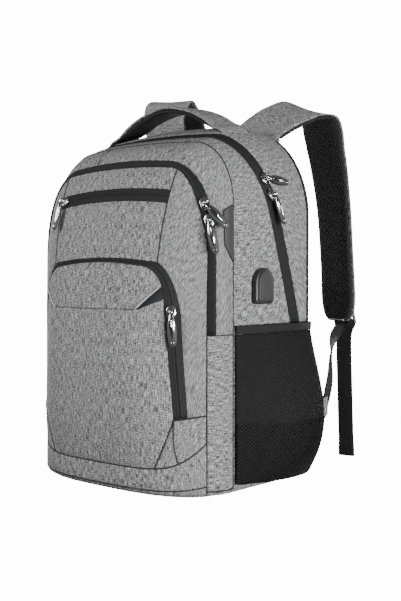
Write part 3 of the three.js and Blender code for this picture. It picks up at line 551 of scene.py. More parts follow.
back_net = spacer_net("back_spacer_net", BACK_CLOTH["cell"], 0.035, 0.006)
back_bm = padded_sheet(
    lambda u, v: back_face(u, v, BACK["pad"]), lambda u, v: back_face(u, v, 0),
    even(72), even(64), BACK_CLOTH["width"], BACK_CLOTH["height"],
)
back_piece = add_piece(back_bm, "back_padding", back_net, "net", ["back_panel"])

# Gussets and roof of the main compartment
# Two canvas bands that run up one side, over the roof and down the other, with the main zip between
# them. The rear one is sewn to the back, the middle one to the second compartment.
MAIN_ZIP = {"width": 22, "top_y": -40, "end_y": 61, "sweep": 0.76}


def main_zip_share(t, offset):
    z = seam_point(SEAM_BACK, t).lerp(seam_point(SEAM_PIPING, t), 0.5).z
    crown = (SEAM_BACK["top"] + SEAM_PIPING["top"]) / 2
    drop = max(0, crown - z) / (crown - MAIN_ZIP_END)
    y = lerp(MAIN_ZIP["top_y"], MAIN_ZIP["end_y"], drop ** MAIN_ZIP["sweep"]) + offset
    return (SEAM_BACK["y"] - y) / (SEAM_BACK["y"] - SEAM_PIPING["y"])


def zip_edge(t, edge):
    return main_zip_share(t, edge * MAIN_ZIP["width"] / 2)


def over_roof(u):
    return lerp(zip_start, 1 - zip_start, u)


def rear_band(u, v):
    t = over_roof(u)
    return main_shell(t, lerp(0, zip_edge(t, 1), v))


def middle_band(u, v):
    t = over_roof(u)
    return main_shell(t, lerp(zip_edge(t, -1), 1, v))


sew_panel("rear_gusset_canvas", "rear_gusset", rear_band, seed=3.0)
sew_panel("middle_gusset_canvas", "middle_gusset", middle_band, seed=5.0)

# Main zip
# Black woven tape in two halves that meet over a nylon coil. Its edges are sewn under the canvas
# of both gussets, and its ends lie behind the binding of the side nets.
TAPE = {"sink": 1.5, "thickness": 1.0, "step": 6.0}
RIBS = {"along_per_mm": 0.02, "across_per_mm": 0.45, "grain_per_mm": 0.9}
RIB_TONES = [(0.05, 0.006), (0.7, 0.03)]
TAPE_ROWS = [0, 0.1, 0.2, 0.3, 0.36, 0.42, 0.47, 0.49, 0.51, 0.53, 0.58, 0.64, 0.7, 0.8, 0.9, 1]
COIL = {"swell": 1.1, "at": 0.09, "reach": 0.09, "slit": 0.9, "slit_reach": 0.02}


def zip_weave(name):
    material = new_material(name, 0.75, Specular_IOR_Level=0.2)
    ribs = scaled_uv(material, (RIBS["along_per_mm"] / MM, RIBS["across_per_mm"] / MM, 1))
    rib = new_node(material, "ShaderNodeTexWave", {"Vector": ribs, "Scale": 1.0}, bands_direction="Y")
    fine = RIBS["grain_per_mm"] / MM
    grain = speckle(material, scaled_uv(material, (fine, fine, 1)))
    both = arithmetic(material, "MULTIPLY", rib.outputs["Fac"], grain)
    into_shader(material, colour_steps(material, both, RIB_TONES), both, 0.0004, 0.5)
    return material


def zip_grid(surface):
    """A zip: the tape lies a little below the canvas, swells over the coil and splits down the middle."""
    width = line_length(lambda k: surface(k, 0.5), 40)
    height = line_length(lambda k: surface(0.5, k))
    columns = even(round(width / TAPE["step"]))

    def place(u, v):
        p = surface(u, v)
        off_middle = abs(v - 0.5)
        swell = COIL["swell"] * math.exp(-(((off_middle - COIL["at"]) / COIL["reach"]) ** 2))
        slit = COIL["slit"] * math.exp(-((off_middle / COIL["slit_reach"]) ** 2))
        return p + inward(p) * (TAPE["sink"] - swell + slit)

    bm = mapped_grid(columns, TAPE_ROWS, place, level_chart(width, height))
    face_outwards(bm)
    return bm


def main_tape(k, f):
    return main_shell(k, lerp(zip_edge(k, 1), zip_edge(k, -1), f))


tape_black = zip_weave("zip_weave_black")


def sew_zip(name, surface):
    bm = zip_grid(surface)
    nodes = [f"{name}_zip_tape"]
    add_piece(bm, f"{name}_zip_weave", tape_black, "zip_tape", nodes, wall=TAPE["thickness"])


sew_zip("main", lambda u, v: main_tape(over_roof(u), v))

# Second compartment
# A narrow canvas gusset with an arched zip round it, sewn to the main compartment's middle gusset.
# Below the zip's ends each lower corner is one piece of canvas.
SEAM_ZIP_OUTER = {"y": -94.5, "half": 148, "top": 403, "corner": 80, "crown": 4, "shoulder": 292}
SEAM_ZIP_INNER = {"half": 139, "top": 393, "corner": 56, "crown": 4, "shoulder": 273}
GUSSET_PUFF = 3
CORNER_PUFF = 6
SECOND_ZIP_END = 190
second_start = at_height(SEAM_PIPING, SECOND_ZIP_END)
corner_top = at_height(SEAM_ZIP_INNER, SECOND_ZIP_END)


def over_second(u):
    return lerp(second_start, 1 - second_start, u)


def gusset_shell(t, f):
    return between(SEAM_PIPING, SEAM_ZIP_OUTER, t, f, GUSSET_PUFF)


def second_tape(k, f):
    return between(SEAM_ZIP_OUTER, SEAM_ZIP_INNER, k, f, GUSSET_PUFF)


def lower_corner(u, v):
    return between(SEAM_PIPING, SEAM_ZIP_INNER, lerp(0, corner_top, u), v, CORNER_PUFF)


def second_band(u, v):
    return gusset_shell(over_second(u), v)


sew_panel("second_gusset_canvas", "second_gusset", second_band, step=5, seed=8.0)
sew_zip("second", lambda u, v: second_tape(over_second(u), v))
sew_pair("lower_corner", lower_corner, step=6, seed=11.0)

# Front face
# Canvas in four pieces round the pocket, joined by two upright seams; a level zip runs across
# the upper part.
POCKET_OUTER = {"half": 118, "top": 281, "corner": 37, "crown": 5, "shoulder": 199, "flare": 11}
POCKET_INNER = {"half": 101, "top": 276, "corner": 33, "crown": 5, "shoulder": 233, "flare": 19}
POCKET_ZIP_END = 91.5
GORE_RISE = 5
SEAM_TURN = lerp(STRAIGHT, TURN, 6 / 7)
FRONT_ZIP = (0.24, 0.38)


def leg_x(row, z):
    return row["half"] + row["flare"] * max(0, 1 - (z - FOOT) / (row["shoulder"] - FOOT))


def gore_top(x):
    start = leg_x(POCKET_INNER, POCKET_ZIP_END)
    return POCKET_ZIP_END + GORE_RISE * (x - start) / (BUMPER_HALF - start)


pocket_outer_end = gore_top(leg_x(POCKET_OUTER, POCKET_ZIP_END))
side_foot_outer = at_height(SEAM_ZIP_INNER, gore_top(BUMPER_HALF))
side_foot_inner = at_height(POCKET_OUTER, pocket_outer_end)


def front_face(t_outer, t_inner, f):
    outer_x, outer_z = arch(SEAM_ZIP_INNER, t_outer)
    inner_x, inner_z = arch(POCKET_OUTER, t_inner)
    return front_point(lerp(outer_x, inner_x, f), lerp(outer_z, inner_z, f))


def middle_front(u, f):
    t = lerp(SEAM_TURN, 1 - SEAM_TURN, u)
    return front_face(t, t, f)


def side_front(u, v):
    t_outer = lerp(side_foot_outer, SEAM_TURN, u)
    below = max(0, STRAIGHT - t_outer) / (STRAIGHT - side_foot_outer)
    t_inner = t_outer + (side_foot_inner - side_foot_outer) * below
    return front_face(t_outer, t_inner, v)


def top_front(u, v):
    return middle_front(u, lerp(0, FRONT_ZIP[0], v))


def low_front(u, v):
    return middle_front(u, lerp(FRONT_ZIP[1], 1, v))


def front_tape(u, v):
    return middle_front(u, lerp(FRONT_ZIP[0], FRONT_ZIP[1], v))


sew_panel("front_top_canvas", "front_top_panel", top_front, step=6, seed=14.0)
sew_panel("front_middle_canvas", "front_middle_panel", low_front, step=6, seed=14.0)
sew_zip("front", front_tape)
sew_pair("front_side", side_front, step=6, seed=17.0)

# Front pocket
# An arched zip, a flap folded down over the pocket's top edge, and the pocket's own canvas front.
# Where the flap's lower corners turn up, a black lining shows.
POCKET = {"proud": 4, "puff": 9, "fold": 220, "rim": 11, "cut": 87}
POCKET_FORM = {"square": 4, "low": 0.9, "full": 0.7}
FLAP = {"half": 98, "rise": 26, "lift": 1.8, "reach": 0.25}
SLOT = {"x": 70, "tuck": 6, "lap": 2, "sink": 2.2, "cloth": 0.8}
BUMPER = {"middle": 32, "side": 64, "sweep": 7}
pocket_outer_start = at_height(POCKET_OUTER, pocket_outer_end)
pocket_inner_start = at_height(POCKET_INNER, POCKET_ZIP_END)


def pocket_tape(t_outer, t_inner, f):
    outer_x, outer_z = arch(POCKET_OUTER, t_outer)
    inner_x, inner_z = arch(POCKET_INNER, t_inner)
    return front_point(lerp(outer_x, inner_x, f), lerp(outer_z, inner_z, f), POCKET["proud"] * f)


def pocket_zip(u, v):
    t_outer = lerp(pocket_outer_start, 1 - pocket_outer_start, u)
    return pocket_tape(t_outer, lerp(pocket_inner_start, 1 - pocket_inner_start, u), v)


def bumper_seam(x):
    return lerp(BUMPER["middle"], BUMPER["side"], min(1, abs(x) / BUMPER_HALF) ** BUMPER["sweep"])


cut_foot = bumper_seam(POCKET["cut"])


def pocket_half_width(z):
    leg = leg_x(POCKET_INNER, z)
    if z >= POCKET_ZIP_END:
        return leg
    return lerp(POCKET["cut"], leg, max(0, z - cut_foot) / (POCKET_ZIP_END - cut_foot))


def pocket_point(x, z):
    across = min(1, abs(x) / pocket_half_width(z))
    climb = clamp((z - BUMPER["middle"]) / (POCKET_INNER["top"] - BUMPER["middle"]))
    upright = math.sin(math.pi * climb ** POCKET_FORM["low"]) ** POCKET_FORM["full"]
    crown = (1 - across ** POCKET_FORM["square"]) * upright
    stand = clamp((z - cut_foot) / (POCKET_ZIP_END - cut_foot))
    return front_point(x, z, POCKET["proud"] * stand + POCKET["puff"] * crown)


def past_slot(x):
    return max(0, abs(x) - SLOT["x"]) / (FLAP["half"] - SLOT["x"])


def flap_edge(x):
    return POCKET["fold"] + FLAP["rise"] * past_slot(x)


def pocket_rim(x):
    return POCKET["fold"] + POCKET["rim"] * past_slot(x)


def flap_point(u, v):
    x = math.cos(math.pi * u) * FLAP["half"]
    p = pocket_point(x, lerp(flap_edge(x), arch_top(POCKET_INNER, x), v))
    return p - inward(p) * (FLAP["lift"] * math.exp(-v / FLAP["reach"]))


def pocket_face(u, v):
    across = lerp(1, -1, u)
    rim = pocket_rim(across * POCKET_INNER["half"])
    z = lerp(bumper_seam(across * POCKET["cut"]), rim, v)
    return pocket_point(across * pocket_half_width(z), z)


def slot_lining(u, v):
    x = lerp(SLOT["x"] - SLOT["tuck"], POCKET_INNER["half"], u)
    upper = min(flap_edge(x), arch_top(POCKET_INNER, x)) + SLOT["lap"]
    return pocket_point(x, lerp(pocket_rim(x) - SLOT["lap"], upper, v))


def pocket_gore(u, v):
    inner_x = pocket_half_width(lerp(cut_foot, POCKET_ZIP_END, v))
    foot = bumper_seam(lerp(POCKET["cut"], BUMPER_HALF, u))
    top = gore_top(lerp(leg_x(POCKET_INNER, POCKET_ZIP_END), BUMPER_HALF, u))
    proud = POCKET["proud"] * v * (1 - u)
    return front_point(lerp(inner_x, BUMPER_HALF, u), lerp(foot, top, v), proud)


sew_zip("pocket", pocket_zip)
sew_panel("pocket_flap_canvas", "pocket_flap", flap_point, step=5, seed=20.0)
sew_panel("pocket_front_canvas", "pocket_front", pocket_face, step=6, seed=23.0, ripple=1.0)
lining_black = new_material("lining_black", 0.9, Base_Color=(0.01, 0.01, 0.011, 1))
for side, place in SIDES:
    lining_bm = cloth_grid(lambda u, v: place(slot_lining(u, v)), step=4, seams="", sink=SLOT["sink"])
    lining_nodes = [f"slot_lining_{side}"]
    sheet_name = f"slot_lining_black_{side}"
    add_piece(lining_bm, sheet_name, lining_black, "zip_tape", lining_nodes, wall=SLOT["cloth"])
    gore_names = (f"pocket_gore_canvas_{side}", f"pocket_gore_{side}")
    sew_panel(*gore_names, lambda u, v: place(pocket_gore(u, v)), step=5, seed=26.0)

# Bumper
# A wide canvas band round the foot of the front, swept up at both ends. It is sewn to the pocket
# and its gores above, and to the base below.


def bumper_band(u, v):
    x = bumper_x(u)
    return front_point(x, lerp(FOOT, bumper_seam(x), v))


sew_panel("bumper_canvas", "bumper", bumper_band, step=6, seed=29.0)

# Side pockets
# A black knitted net with large holes, gathered under a wide elastic binding, over a black sheet that paints
# the shade behind its holes. It is sewn into the seams before and behind it, with a pleat at its foot.
NET = {"front": 13, "rear": 5, "top": 190, "edge": 1.5, "wide": 154, "tall": 180}
NET_FORM = {"bulge": 33.5, "sway": 16, "mouth": 0.37, "rearward": 1.5, "full": 0.6, "low": 0.73}
BINDING = {"height": 10, "thickness": 2.6, "rim": 0.45, "square": 5, "long": 160}
BINDING_ROWS = [0, 0.03, 0.08, 0.2, 0.5, 0.8, 0.92, 0.97, 1]
STRAND = {"wide": 4.6, "tall": 4.4, "inset": 0.42, "lift": 1.4, "thickness": 0.8}
NET_SHADE_SHEET = 0.4
PLEAT = {"y": -40, "lean": 0.22, "width": 7, "depth": 7, "reach": 55, "foot": 6}


def net_point(y, z):
    f = (SEAM_BACK["y"] - y) / (SEAM_BACK["y"] - SEAM_PIPING["y"])
    p = main_shell(at_height(SEAM_BACK, z), f)
    climb = (z - FOOT) / (NET["top"] - FOOT)
    lengthwise = math.sin(math.pi * clamp(1 - f) ** NET_FORM["rearward"]) ** NET_FORM["full"]
    upright = NET_FORM["mouth"] * climb + math.sin(math.pi * min(1, climb) ** NET_FORM["low"])
    p.x += NET_FORM["bulge"] * lengthwise * upright
    p.y += NET_FORM["sway"] * lengthwise * upright * (1 - f)
    pleat_y = PLEAT["y"] + PLEAT["lean"] * z
    pleat = math.exp(-(((y - pleat_y) / PLEAT["width"]) ** 2) - (z / PLEAT["reach"]) ** 2)
    p.x -= PLEAT["depth"] * pleat * lengthwise * min(1, climb * PLEAT["foot"])
    return p


def net_sheet(u, z, height):
    p = net_point(lerp(SEAM_PIPING["y"] + NET["edge"], SEAM_BACK["y"] - NET["edge"], u), z)
    return p - inward(p) * height


def net_height(u, v):
    return lerp(lerp(NET["front"], NET["rear"], u), NET["top"], v)


def net_lattice(place):
    """A grid whose faces are poked and whose old edges are dissolved: what is left are diamond cells."""
    wide = round((SEAM_BACK["y"] - SEAM_PIPING["y"]) / STRAND["wide"])
    tall = round((NET["top"] - NET["rear"]) / STRAND["tall"])
    bm = bmesh.new()
    bmesh.ops.create_grid(bm, x_segments=wide, y_segments=tall, size=0.5)
    straight = [edge for edge in bm.edges if not edge.is_boundary]
    bmesh.ops.poke(bm, faces=bm.faces)
    bmesh.ops.dissolve_edges(bm, edges=straight, use_verts=False)
    cells = [face for face in bm.faces if len(face.verts) == 4]
    for vert in bm.verts:
        u, v = vert.co.x + 0.5, vert.co.y + 0.5
        vert.co = place(net_sheet(u, net_height(u, v), GAP + STRAND["lift"]))
    bmesh.ops.inset_individual(bm, faces=cells, thickness=STRAND["inset"])
    bmesh.ops.delete(bm, geom=cells, context="FACES_ONLY")
    face_outwards(bm)
    return bm


def binding_face(u, v, thickness):
    swell = math.sqrt(max(0, 1 - abs(2 * v - 1) ** BINDING["square"]))
    z = NET["top"] + GAP + v * BINDING["height"]
    return net_sheet(u, z, GAP + thickness * lerp(BINDING["rim"], 1, swell))


net_black = new_material(
    "net_yarn_black", 0.55, Base_Color=(0.012, 0.012, 0.012, 1), Specular_IOR_Level=0.25
)
# Painted shade: a black sheet just behind the net's strands, darker than they are, so the holes show as dark
# as their shade.
net_shade_sheet = new_material("net_shade_backing_black", 0.95, Base_Color=(0.006, 0.006, 0.006, 1))
binding_black = zip_weave("binding_weave_black")
for side, place in SIDES:
    strands_bm = net_lattice(place)
    add_piece(strands_bm, f"side_net_strands_{side}", net_black, "net", wall=STRAND["thickness"])
    # The sheet of painted shade behind the strands, over the grey wall.
    behind_bm = mapped_grid(
        even(40), even(44),
        lambda u, v: place(net_sheet(u, net_height(u, v), GAP + NET_SHADE_SHEET)),
        level_chart(NET["wide"], NET["tall"]),
    )
    face_outwards(behind_bm)
    sheet_name = f"side_net_shade_backing_{side}"
    add_piece(behind_bm, sheet_name, net_shade_sheet, "net", [f"side_net_{side}"], wall=NET_SHADE_SHEET)
    binding_bm = padded_sheet(
        lambda u, v: place(binding_face(u, v, BINDING["thickness"])),
        lambda u, v: place(binding_face(u, v, 0)),
        even(40), BINDING_ROWS, BINDING["long"], BINDING["height"],
    )
    binding_name = f"net_binding_elastic_{side}"
    add_piece(binding_bm, binding_name, binding_black, "webbing", [f"net_binding_{side}"])

# Seams and piping
# Dark cords lie in the grooves of the seams, and just under the cloth along seam lines across panels:
# painted shadow for the seams. A black piping cord runs round the back panel's edge, and a pale cord, a
# painted highlight, along the raised corners of the pocket's flap.
SHADOW_CORD = {"radius": 0.95, "sink": 1.05, "panel_sink": 0.6}
PIPING = {"radius": 2.0, "sink": 0.6}
TOP_SEAM = {"at": 0.562, "slant": 0.012}
FLAP_HIGHLIGHT = {"from": 0.02, "to": 0.246, "radius": 0.8, "lift": 0.5}


def grained(name, roughness, dark, light, grain, depth, **sockets):
    """Moulded, cast or spun: a fine speckle of tone and of relief, read in the bag's own frame."""
    material = new_material(name, roughness, **sockets)
    place = new_node(material, "ShaderNodeTexCoord").outputs["Object"]
    speck = speckle(material, place, Scale=1 / (grain * MM), Detail=3.0)
    tone = colour_steps(material, speck, [(0.3, dark), (0.7, light)])
    into_shader(material, tone, speck, depth, 0.5)
    return material


def closed_tube(bm):
    bmesh.ops.remove_doubles(bm, verts=bm.verts, dist=1e-4)
    bmesh.ops.holes_fill(bm, edges=[edge for edge in bm.edges if edge.is_boundary])
    bmesh.ops.recalc_face_normals(bm, faces=bm.faces)
    return bm


def cord_grid(centre, count, radius, sides=8):
    """A round cord along a line on the bag: centre(k) for k from 0 to 1."""
    points = [centre(k / count) for k in range(count + 1)]

    def place(u, v):
        k = round(u * count)
        along = (points[min(k + 1, count)] - points[max(k - 1, 0)]).normalized()
        across = along.cross(-inward(points[k])).normalized()
        out = across.cross(along)
        angle = 2 * math.pi * v
        return points[k] + (across * math.cos(angle) + out * math.sin(angle)) * radius

    chart = level_chart(line_length(centre, count), 2 * math.pi * radius)
    return closed_tube(mapped_grid(even(count), even(sides), place, chart))


def sunk(surface, u_line, v_line, sink):
    """A straight run across a panel, from one (u, v) to another, a little under the cloth."""

    def centre(k):
        p = surface(lerp(*u_line, k), lerp(*v_line, k))
        return p + inward(p) * sink

    return centre


def arch_line(row, t_from, t_to):
    return lambda u, v: tuck_under(seam_point(row, lerp(t_from, t_to, u)))


def top_gusset(u, v):
    return gusset_shell(TOP_SEAM["at"] + TOP_SEAM["slant"] * u, u)


# Painted shadow: dark cords in the seams' grooves, and just under the cloth along seam lines across panels,
# stand in for the shade in every seam.
painted_shadow_cord = grained("seam_painted_shadow", 0.85, 0.006, 0.02, 0.8, 0.0003)
piping_black = zip_weave("piping_weave_black")
# Each seam: its name, its panel, its run in u and in v, its steps, and whether both sides have it.
SEAMS = [
    ("piping_seam", arch_line(SEAM_PIPING, 0, 1), (0, 1), (0, 0), 220, False),
    ("corner_seam", arch_line(SEAM_ZIP_INNER, 0, corner_top), (0, 1), (0, 0), 40, True),
    ("corner_top_seam", lower_corner, (1, 1), (0, 1), 14, True),
    ("upright_seam", middle_front, (0, 0), (0, FRONT_ZIP[0]), 20, True),
    ("upright_low_seam", middle_front, (0, 0), (FRONT_ZIP[1], 1), 24, True),
    ("bumper_seam", bumper_band, (0, 1), (1, 1), 120, False),
    ("gore_inner_seam", pocket_gore, (0, 0), (0, 1), 20, True),
    ("gore_top_seam", pocket_gore, (0, 1), (1, 1), 16, True),
]
PANEL_SEAMS = [
    ("gore_middle_seam", pocket_gore, (0.54, 0), (0.02, 1), 20, True),
    ("base_strip_seam", bumper_band, (0, 1), (0.2, 0.2), 120, False),
    ("base_corner_seam", lower_corner, (0.035, 0.035), (0, 1), 14, True),
    ("top_gusset_seam", top_gusset, (0, 1), (0, 0), 14, False),
]
for seams, sink in ((SEAMS, SHADOW_CORD["sink"]), (PANEL_SEAMS, SHADOW_CORD["panel_sink"])):
    for name, surface, u_line, v_line, count, twice in seams:
        line = sunk(surface, u_line, v_line, sink)
        for side, place in SIDES if twice else [("round", lambda p: p)]:
            seam_bm = cord_grid(lambda k: place(line(k)), count, SHADOW_CORD["radius"], 6)
            add_piece(seam_bm, f"{name}_{side}", painted_shadow_cord, "zip_tape")
back_line = sunk(arch_line(SEAM_BACK, 0, 1), (0, 1), (0, 0), PIPING["sink"])
piping_bm = cord_grid(back_line, 240, PIPING["radius"], 10)
add_piece(piping_bm, "back_piping", piping_black, "webbing")
# Painted highlight: pale cords lifted just over the flap's raised corners, and across the straps' ends, for
# the light caught on those edges.
painted_highlight_pale = grained("painted_highlight_pale", 0.8, 0.3, 0.45, 0.8, 0.0002)
highlight_line = sunk(flap_point, (FLAP_HIGHLIGHT["from"], FLAP_HIGHLIGHT["to"]), (0, 0), -FLAP_HIGHLIGHT["lift"])
for side, place in SIDES:
    highlight_bm = cord_grid(lambda k: place(highlight_line(k)), 24, FLAP_HIGHLIGHT["radius"], 8)
    add_piece(highlight_bm, f"flap_painted_highlight_{side}", painted_highlight_pale, "canvas")

# Topstitching
# Rows of grey thread beside the zips and twice along the flap's fold, each stitch three
# millimetres long; they hold the turned edges of the canvas down.
STITCH = {"pitch": 4.2, "long": 3.0, "wide": 0.75, "high": 0.5, "sink": 0.5}
FOLD_ROWS = (0.06, 0.13)
stitch_grey = grained("stitch_grey", 0.8, 0.09, 0.17, 0.8, 0.0002)


def stitch_rows(lines, name, out_at=lambda p: -inward(p)):
    """Many stitches as one mesh; each line is a function of k from 0 to 1."""
    near = 0.01
    bm = bmesh.new()
    for line in lines:
        count = max(1, round(line_length(line, 40) / STITCH["pitch"]))
        for k in range(count):
            share = (k + 0.5) / count
            p = line(share)
            along = (line(min(1, share + near)) - line(max(0, share - near))).normalized()
            across = out_at(p).cross(along).normalized()
            turned = Matrix((along, across, along.cross(across))).transposed().to_4x4()
            size = Matrix.Diagonal((STITCH["long"] / 2, STITCH["wide"] / 2, STITCH["high"] / 2, 1))
            spot = Matrix.Translation(p) @ turned @ size
            bmesh.ops.create_icosphere(bm, subdivisions=1, radius=1, matrix=spot)
    bmesh.ops.recalc_face_normals(bm, faces=bm.faces)
    add_piece(bm, name, stitch_grey, "canvas")


ZIP_ROWS = [
    (rear_band, 0.955),
    (middle_band, 0.05),
    (second_band, 0.88),
    (top_front, 0.92),
    (low_front, 0.05),
]
fold_span = 0.5 - math.acos(SLOT["x"] / FLAP["half"]) / math.pi
fold_run = (0.5 - fold_span, 0.5 + fold_span)
fold_lines = [sunk(flap_point, fold_run, (v, v), STITCH["sink"]) for v in FOLD_ROWS]
stitch_rows(fold_lines, "flap_fold_stitches")
zip_lines = [sunk(band, (0, 1), (v, v), STITCH["sink"]) for band, v in ZIP_ROWS]
stitch_rows(zip_lines, "zip_edge_stitches")

# Charging port
# A black moulded housing with a domed top, set in the right side, under a soft rubber cover
# with a raised thumb pad and a grip of small dots at its foot.
PORT = {"width": 36, "height": 44, "depth": 5, "foot": 6, "sunk": 3, "edge": 0.08}
PORT_PLACE = Vector((154.4, -15, 247))
COVER = {"inset": 7, "depth": 2, "foot": 4, "apart": 0.1, "edge": 0.06}
GRIP_PAD = {"inset": 13, "depth": 0.7, "foot": 3, "edge": 0.04}
DOTS = {"rows": 3, "columns": 7, "pitch": 2.4, "radius": 0.75, "low": -17, "lift": 0.3}
EASE = {"wall": 0.72, "rim": 0.9, "draw": 0.3}


def dome_outline(inset, foot_round, steps=12):
    height = PORT["height"] - inset
    half = (PORT["width"] - inset) / 2
    points = []
    for k in range(steps + 1):
        angle = math.pi * k / steps
        points.append((half * math.cos(angle), height / 2 - half + half * math.sin(angle)))
    for side_sign, start in ((-1, math.pi), (1, 1.5 * math.pi)):
        for k in range(steps // 2 + 1):
            angle = start + math.pi / 2 * k / (steps // 2)
            x = side_sign * (half - foot_round) + foot_round * math.cos(angle)
            points.append((x, foot_round - height / 2 + foot_round * math.sin(angle)))
    return points


def stacked(outline, levels):
    """An outline raised through levels of (height, scale across, scale along), closed at both ends."""
    bm = bmesh.new()
    rings = []
    for height, wide, tall in levels:
        verts = [bm.verts.new((x * wide, y * tall, height)) for x, y in outline]
        rings.append((verts, [bm.edges.new(pair) for pair in zip(verts, verts[1:] + verts[:1])]))
    for (_, lower_edges), (_, upper_edges) in zip(rings, rings[1:]):
        bmesh.ops.bridge_loops(bm, edges=lower_edges + upper_edges)
    bm.faces.new(rings[0][0])
    bm.faces.new(rings[-1][0])
    bmesh.ops.recalc_face_normals(bm, faces=bm.faces)
    return bm


def eased(depth, edge, base):
    """Levels of a moulded block whose outer rim is rounded over."""
    drawn = lerp(1, 1 - edge, EASE["draw"])
    return [
        (base, 1, 1),
        (base + depth * EASE["wall"], 1, 1),
        (base + depth * EASE["rim"], drawn, drawn),
        (base + depth, 1 - edge, 1 - edge),
    ]


side_on = Matrix(((0, 0, 1), (1, 0, 0), (0, 1, 0))).to_4x4()
port_spot = Matrix.Translation(PORT_PLACE) @ side_on
plastic_black = grained("plastic_black", 0.42, 0.018, 0.026, 0.9, 0.00012)
rubber_black = grained("rubber_black", 0.6, 0.026, 0.034, 0.6, 0.0001)
housing_levels = eased(PORT["depth"] + PORT["sunk"], PORT["edge"], -PORT["sunk"])
cover_top = PORT["depth"] + COVER["depth"]
cover_levels = eased(COVER["depth"], COVER["edge"], PORT["depth"] + COVER["apart"])
pad_levels = eased(GRIP_PAD["depth"], GRIP_PAD["edge"], cover_top)
housing_bm = stacked(dome_outline(0, PORT["foot"]), housing_levels)
cover_bm = stacked(dome_outline(COVER["inset"], COVER["foot"]), cover_levels)
pad_bm = stacked(dome_outline(GRIP_PAD["inset"], GRIP_PAD["foot"]), pad_levels)
for row in range(DOTS["rows"]):
    for column in range(DOTS["columns"]):
        x = (column - (DOTS["columns"] - 1) / 2) * DOTS["pitch"]
        y = DOTS["low"] + row * DOTS["pitch"]
        spot = Matrix.Translation((x, y, cover_top + DOTS["lift"]))
        bmesh.ops.create_icosphere(pad_bm, subdivisions=1, radius=DOTS["radius"], matrix=spot)
PORT_PIECES = [
    (housing_bm, "port_housing_moulding", plastic_black, "plastic", ["port_housing"]),
    (cover_bm, "port_cover_rubber", rubber_black, "rubber", ["port_cover"]),
    (pad_bm, "port_cover_grip", rubber_black, "rubber", []),
]
for bm, name, material, slot, nodes in PORT_PIECES:
    bmesh.ops.transform(bm, matrix=port_spot, verts=bm.verts)
    add_piece(bm, name, material, slot, nodes)

# Outlet patch
# A black rubber tab sewn into the piping seam over the earphone outlet. Its face is plain,
# with a shallow groove along its edges.
OUTLET = {"low": 275, "high": 343, "from": 0.06, "reach": 0.58, "thickness": 2}
OUTLET_FORM = {"tip": 0.08, "taper": 0.4, "crest": 0.14, "long": 63, "wide": 14}
OUTLET_RIM = {"height": 0.4, "ends": 12, "sides": 7}
OUTLET_GROOVE = {"depth": 0.35, "at": 0.2, "half": 0.03}


def gusset_at_height(z, f):
    """The point of the gusset at a height on its right side, found by halving."""
    low, high = over_second(0), TURN
    for _ in range(30):
        middle = (low + high) / 2
        if gusset_shell(middle, f).z < z:
            low = middle
        else:
            high = middle
    return gusset_shell(low, f)


def outlet_face(u, v, lift):
    narrow = min(1, u / OUTLET_FORM["taper"], (1 - u) / OUTLET_FORM["crest"])
    reach = OUTLET["reach"] * lerp(OUTLET_FORM["tip"], 1, math.sin(math.pi / 2 * narrow))
    p = gusset_at_height(lerp(OUTLET["low"], OUTLET["high"], u), OUTLET["from"] + reach * v)
    edge = min(1, OUTLET_RIM["ends"] * min(u, 1 - u), OUTLET_RIM["sides"] * min(v, 1 - v))
    rim = lerp(OUTLET_RIM["height"], 1, math.sqrt(max(0, 1 - (1 - edge) ** 2)))
    off_groove = (min(v, 1 - v) - OUTLET_GROOVE["at"]) / OUTLET_GROOVE["half"]
    groove = OUTLET_GROOVE["depth"] * math.exp(-(off_groove**2))
    return p - inward(p) * (GAP + max(0, lift * rim - groove * min(lift, 1)))


outlet_bm = padded_sheet(
    lambda u, v: outlet_face(u, v, OUTLET["thickness"]), lambda u, v: outlet_face(u, v, 0),
    even(40), even(24), OUTLET_FORM["long"], OUTLET_FORM["wide"],
)
add_piece(outlet_bm, "outlet_patch_rubber", rubber_black, "rubber", ["outlet_patch"])

# Top handle
# A foam-filled grab handle: canvas above, black padded lining below. Both feet are sewn flat
# on the roof with two rows of stitches each.
HANDLE = {"width": 46, "face": 2.4, "pad": 7, "foot_pad": 1.2, "x": -3, "y": 1}
HANDLE_ARCH = [
    (110, 428, 0.2),
    (97, 443.5, 0.2),
    (84, 449.5, 0.2),
    (66, 461, 0.15),
    (40, 471.7, 0.1),
    (0, 478.8, 0.06),
]
HANDLE_FOOT = (0.1, 0.276)
HANDLE_STITCHES = {"at": (0.12, 0.17, 0.83, 0.88), "half": 18}
OVERLAP = {"face": 1.2, "pad": 0.2, "inset": 3}
SKIN = {"round": 3, "ripple_per_mm": 0.03, "wrap": 4}


def route_point(points, u):
    """A smooth curve through points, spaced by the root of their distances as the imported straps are."""
    last = len(points) - 1
    k = min(int(u * last), last - 1)
    weight = u * last - k
    p1, p2 = points[k], points[k + 1]
    p0 = points[k - 1] if k > 0 else 2 * points[0] - points[1]
    p3 = points[k + 2] if k + 2 <= last else 2 * points[last] - points[last - 1]
    d0, d1, d2 = (max((b - a).length, 1e-4) ** 0.5 for a, b in ((p0, p1), (p1, p2), (p2, p3)))
    start = ((p1 - p0) / d0 - (p2 - p0) / (d0 + d1) + (p2 - p1) / d1) * d1
    end = ((p2 - p1) / d1 - (p3 - p1) / (d1 + d2) + (p3 - p2) / d2) * d1
    square = -3 * p1 + 3 * p2 - 2 * start - end
    cube = 2 * p1 - 2 * p2 + start + end
    return p1 + start * weight + square * weight**2 + cube * weight**3


def strap_frame(rows, u):
    centres = [Vector(row[:3]) for row in rows]
    crosswise = [Vector(row[3:]) for row in rows]
    nearby = 1e-4
    along = route_point(centres, min(1, u + nearby)) - route_point(centres, max(0, u - nearby))
    along.normalize()
    across = route_point(crosswise, u)
    across = (across - along * across.dot(along)).normalized()
    return route_point(centres, u), across, across.cross(along)


def at_run(value, run):
    return value(run) if callable(value) else value


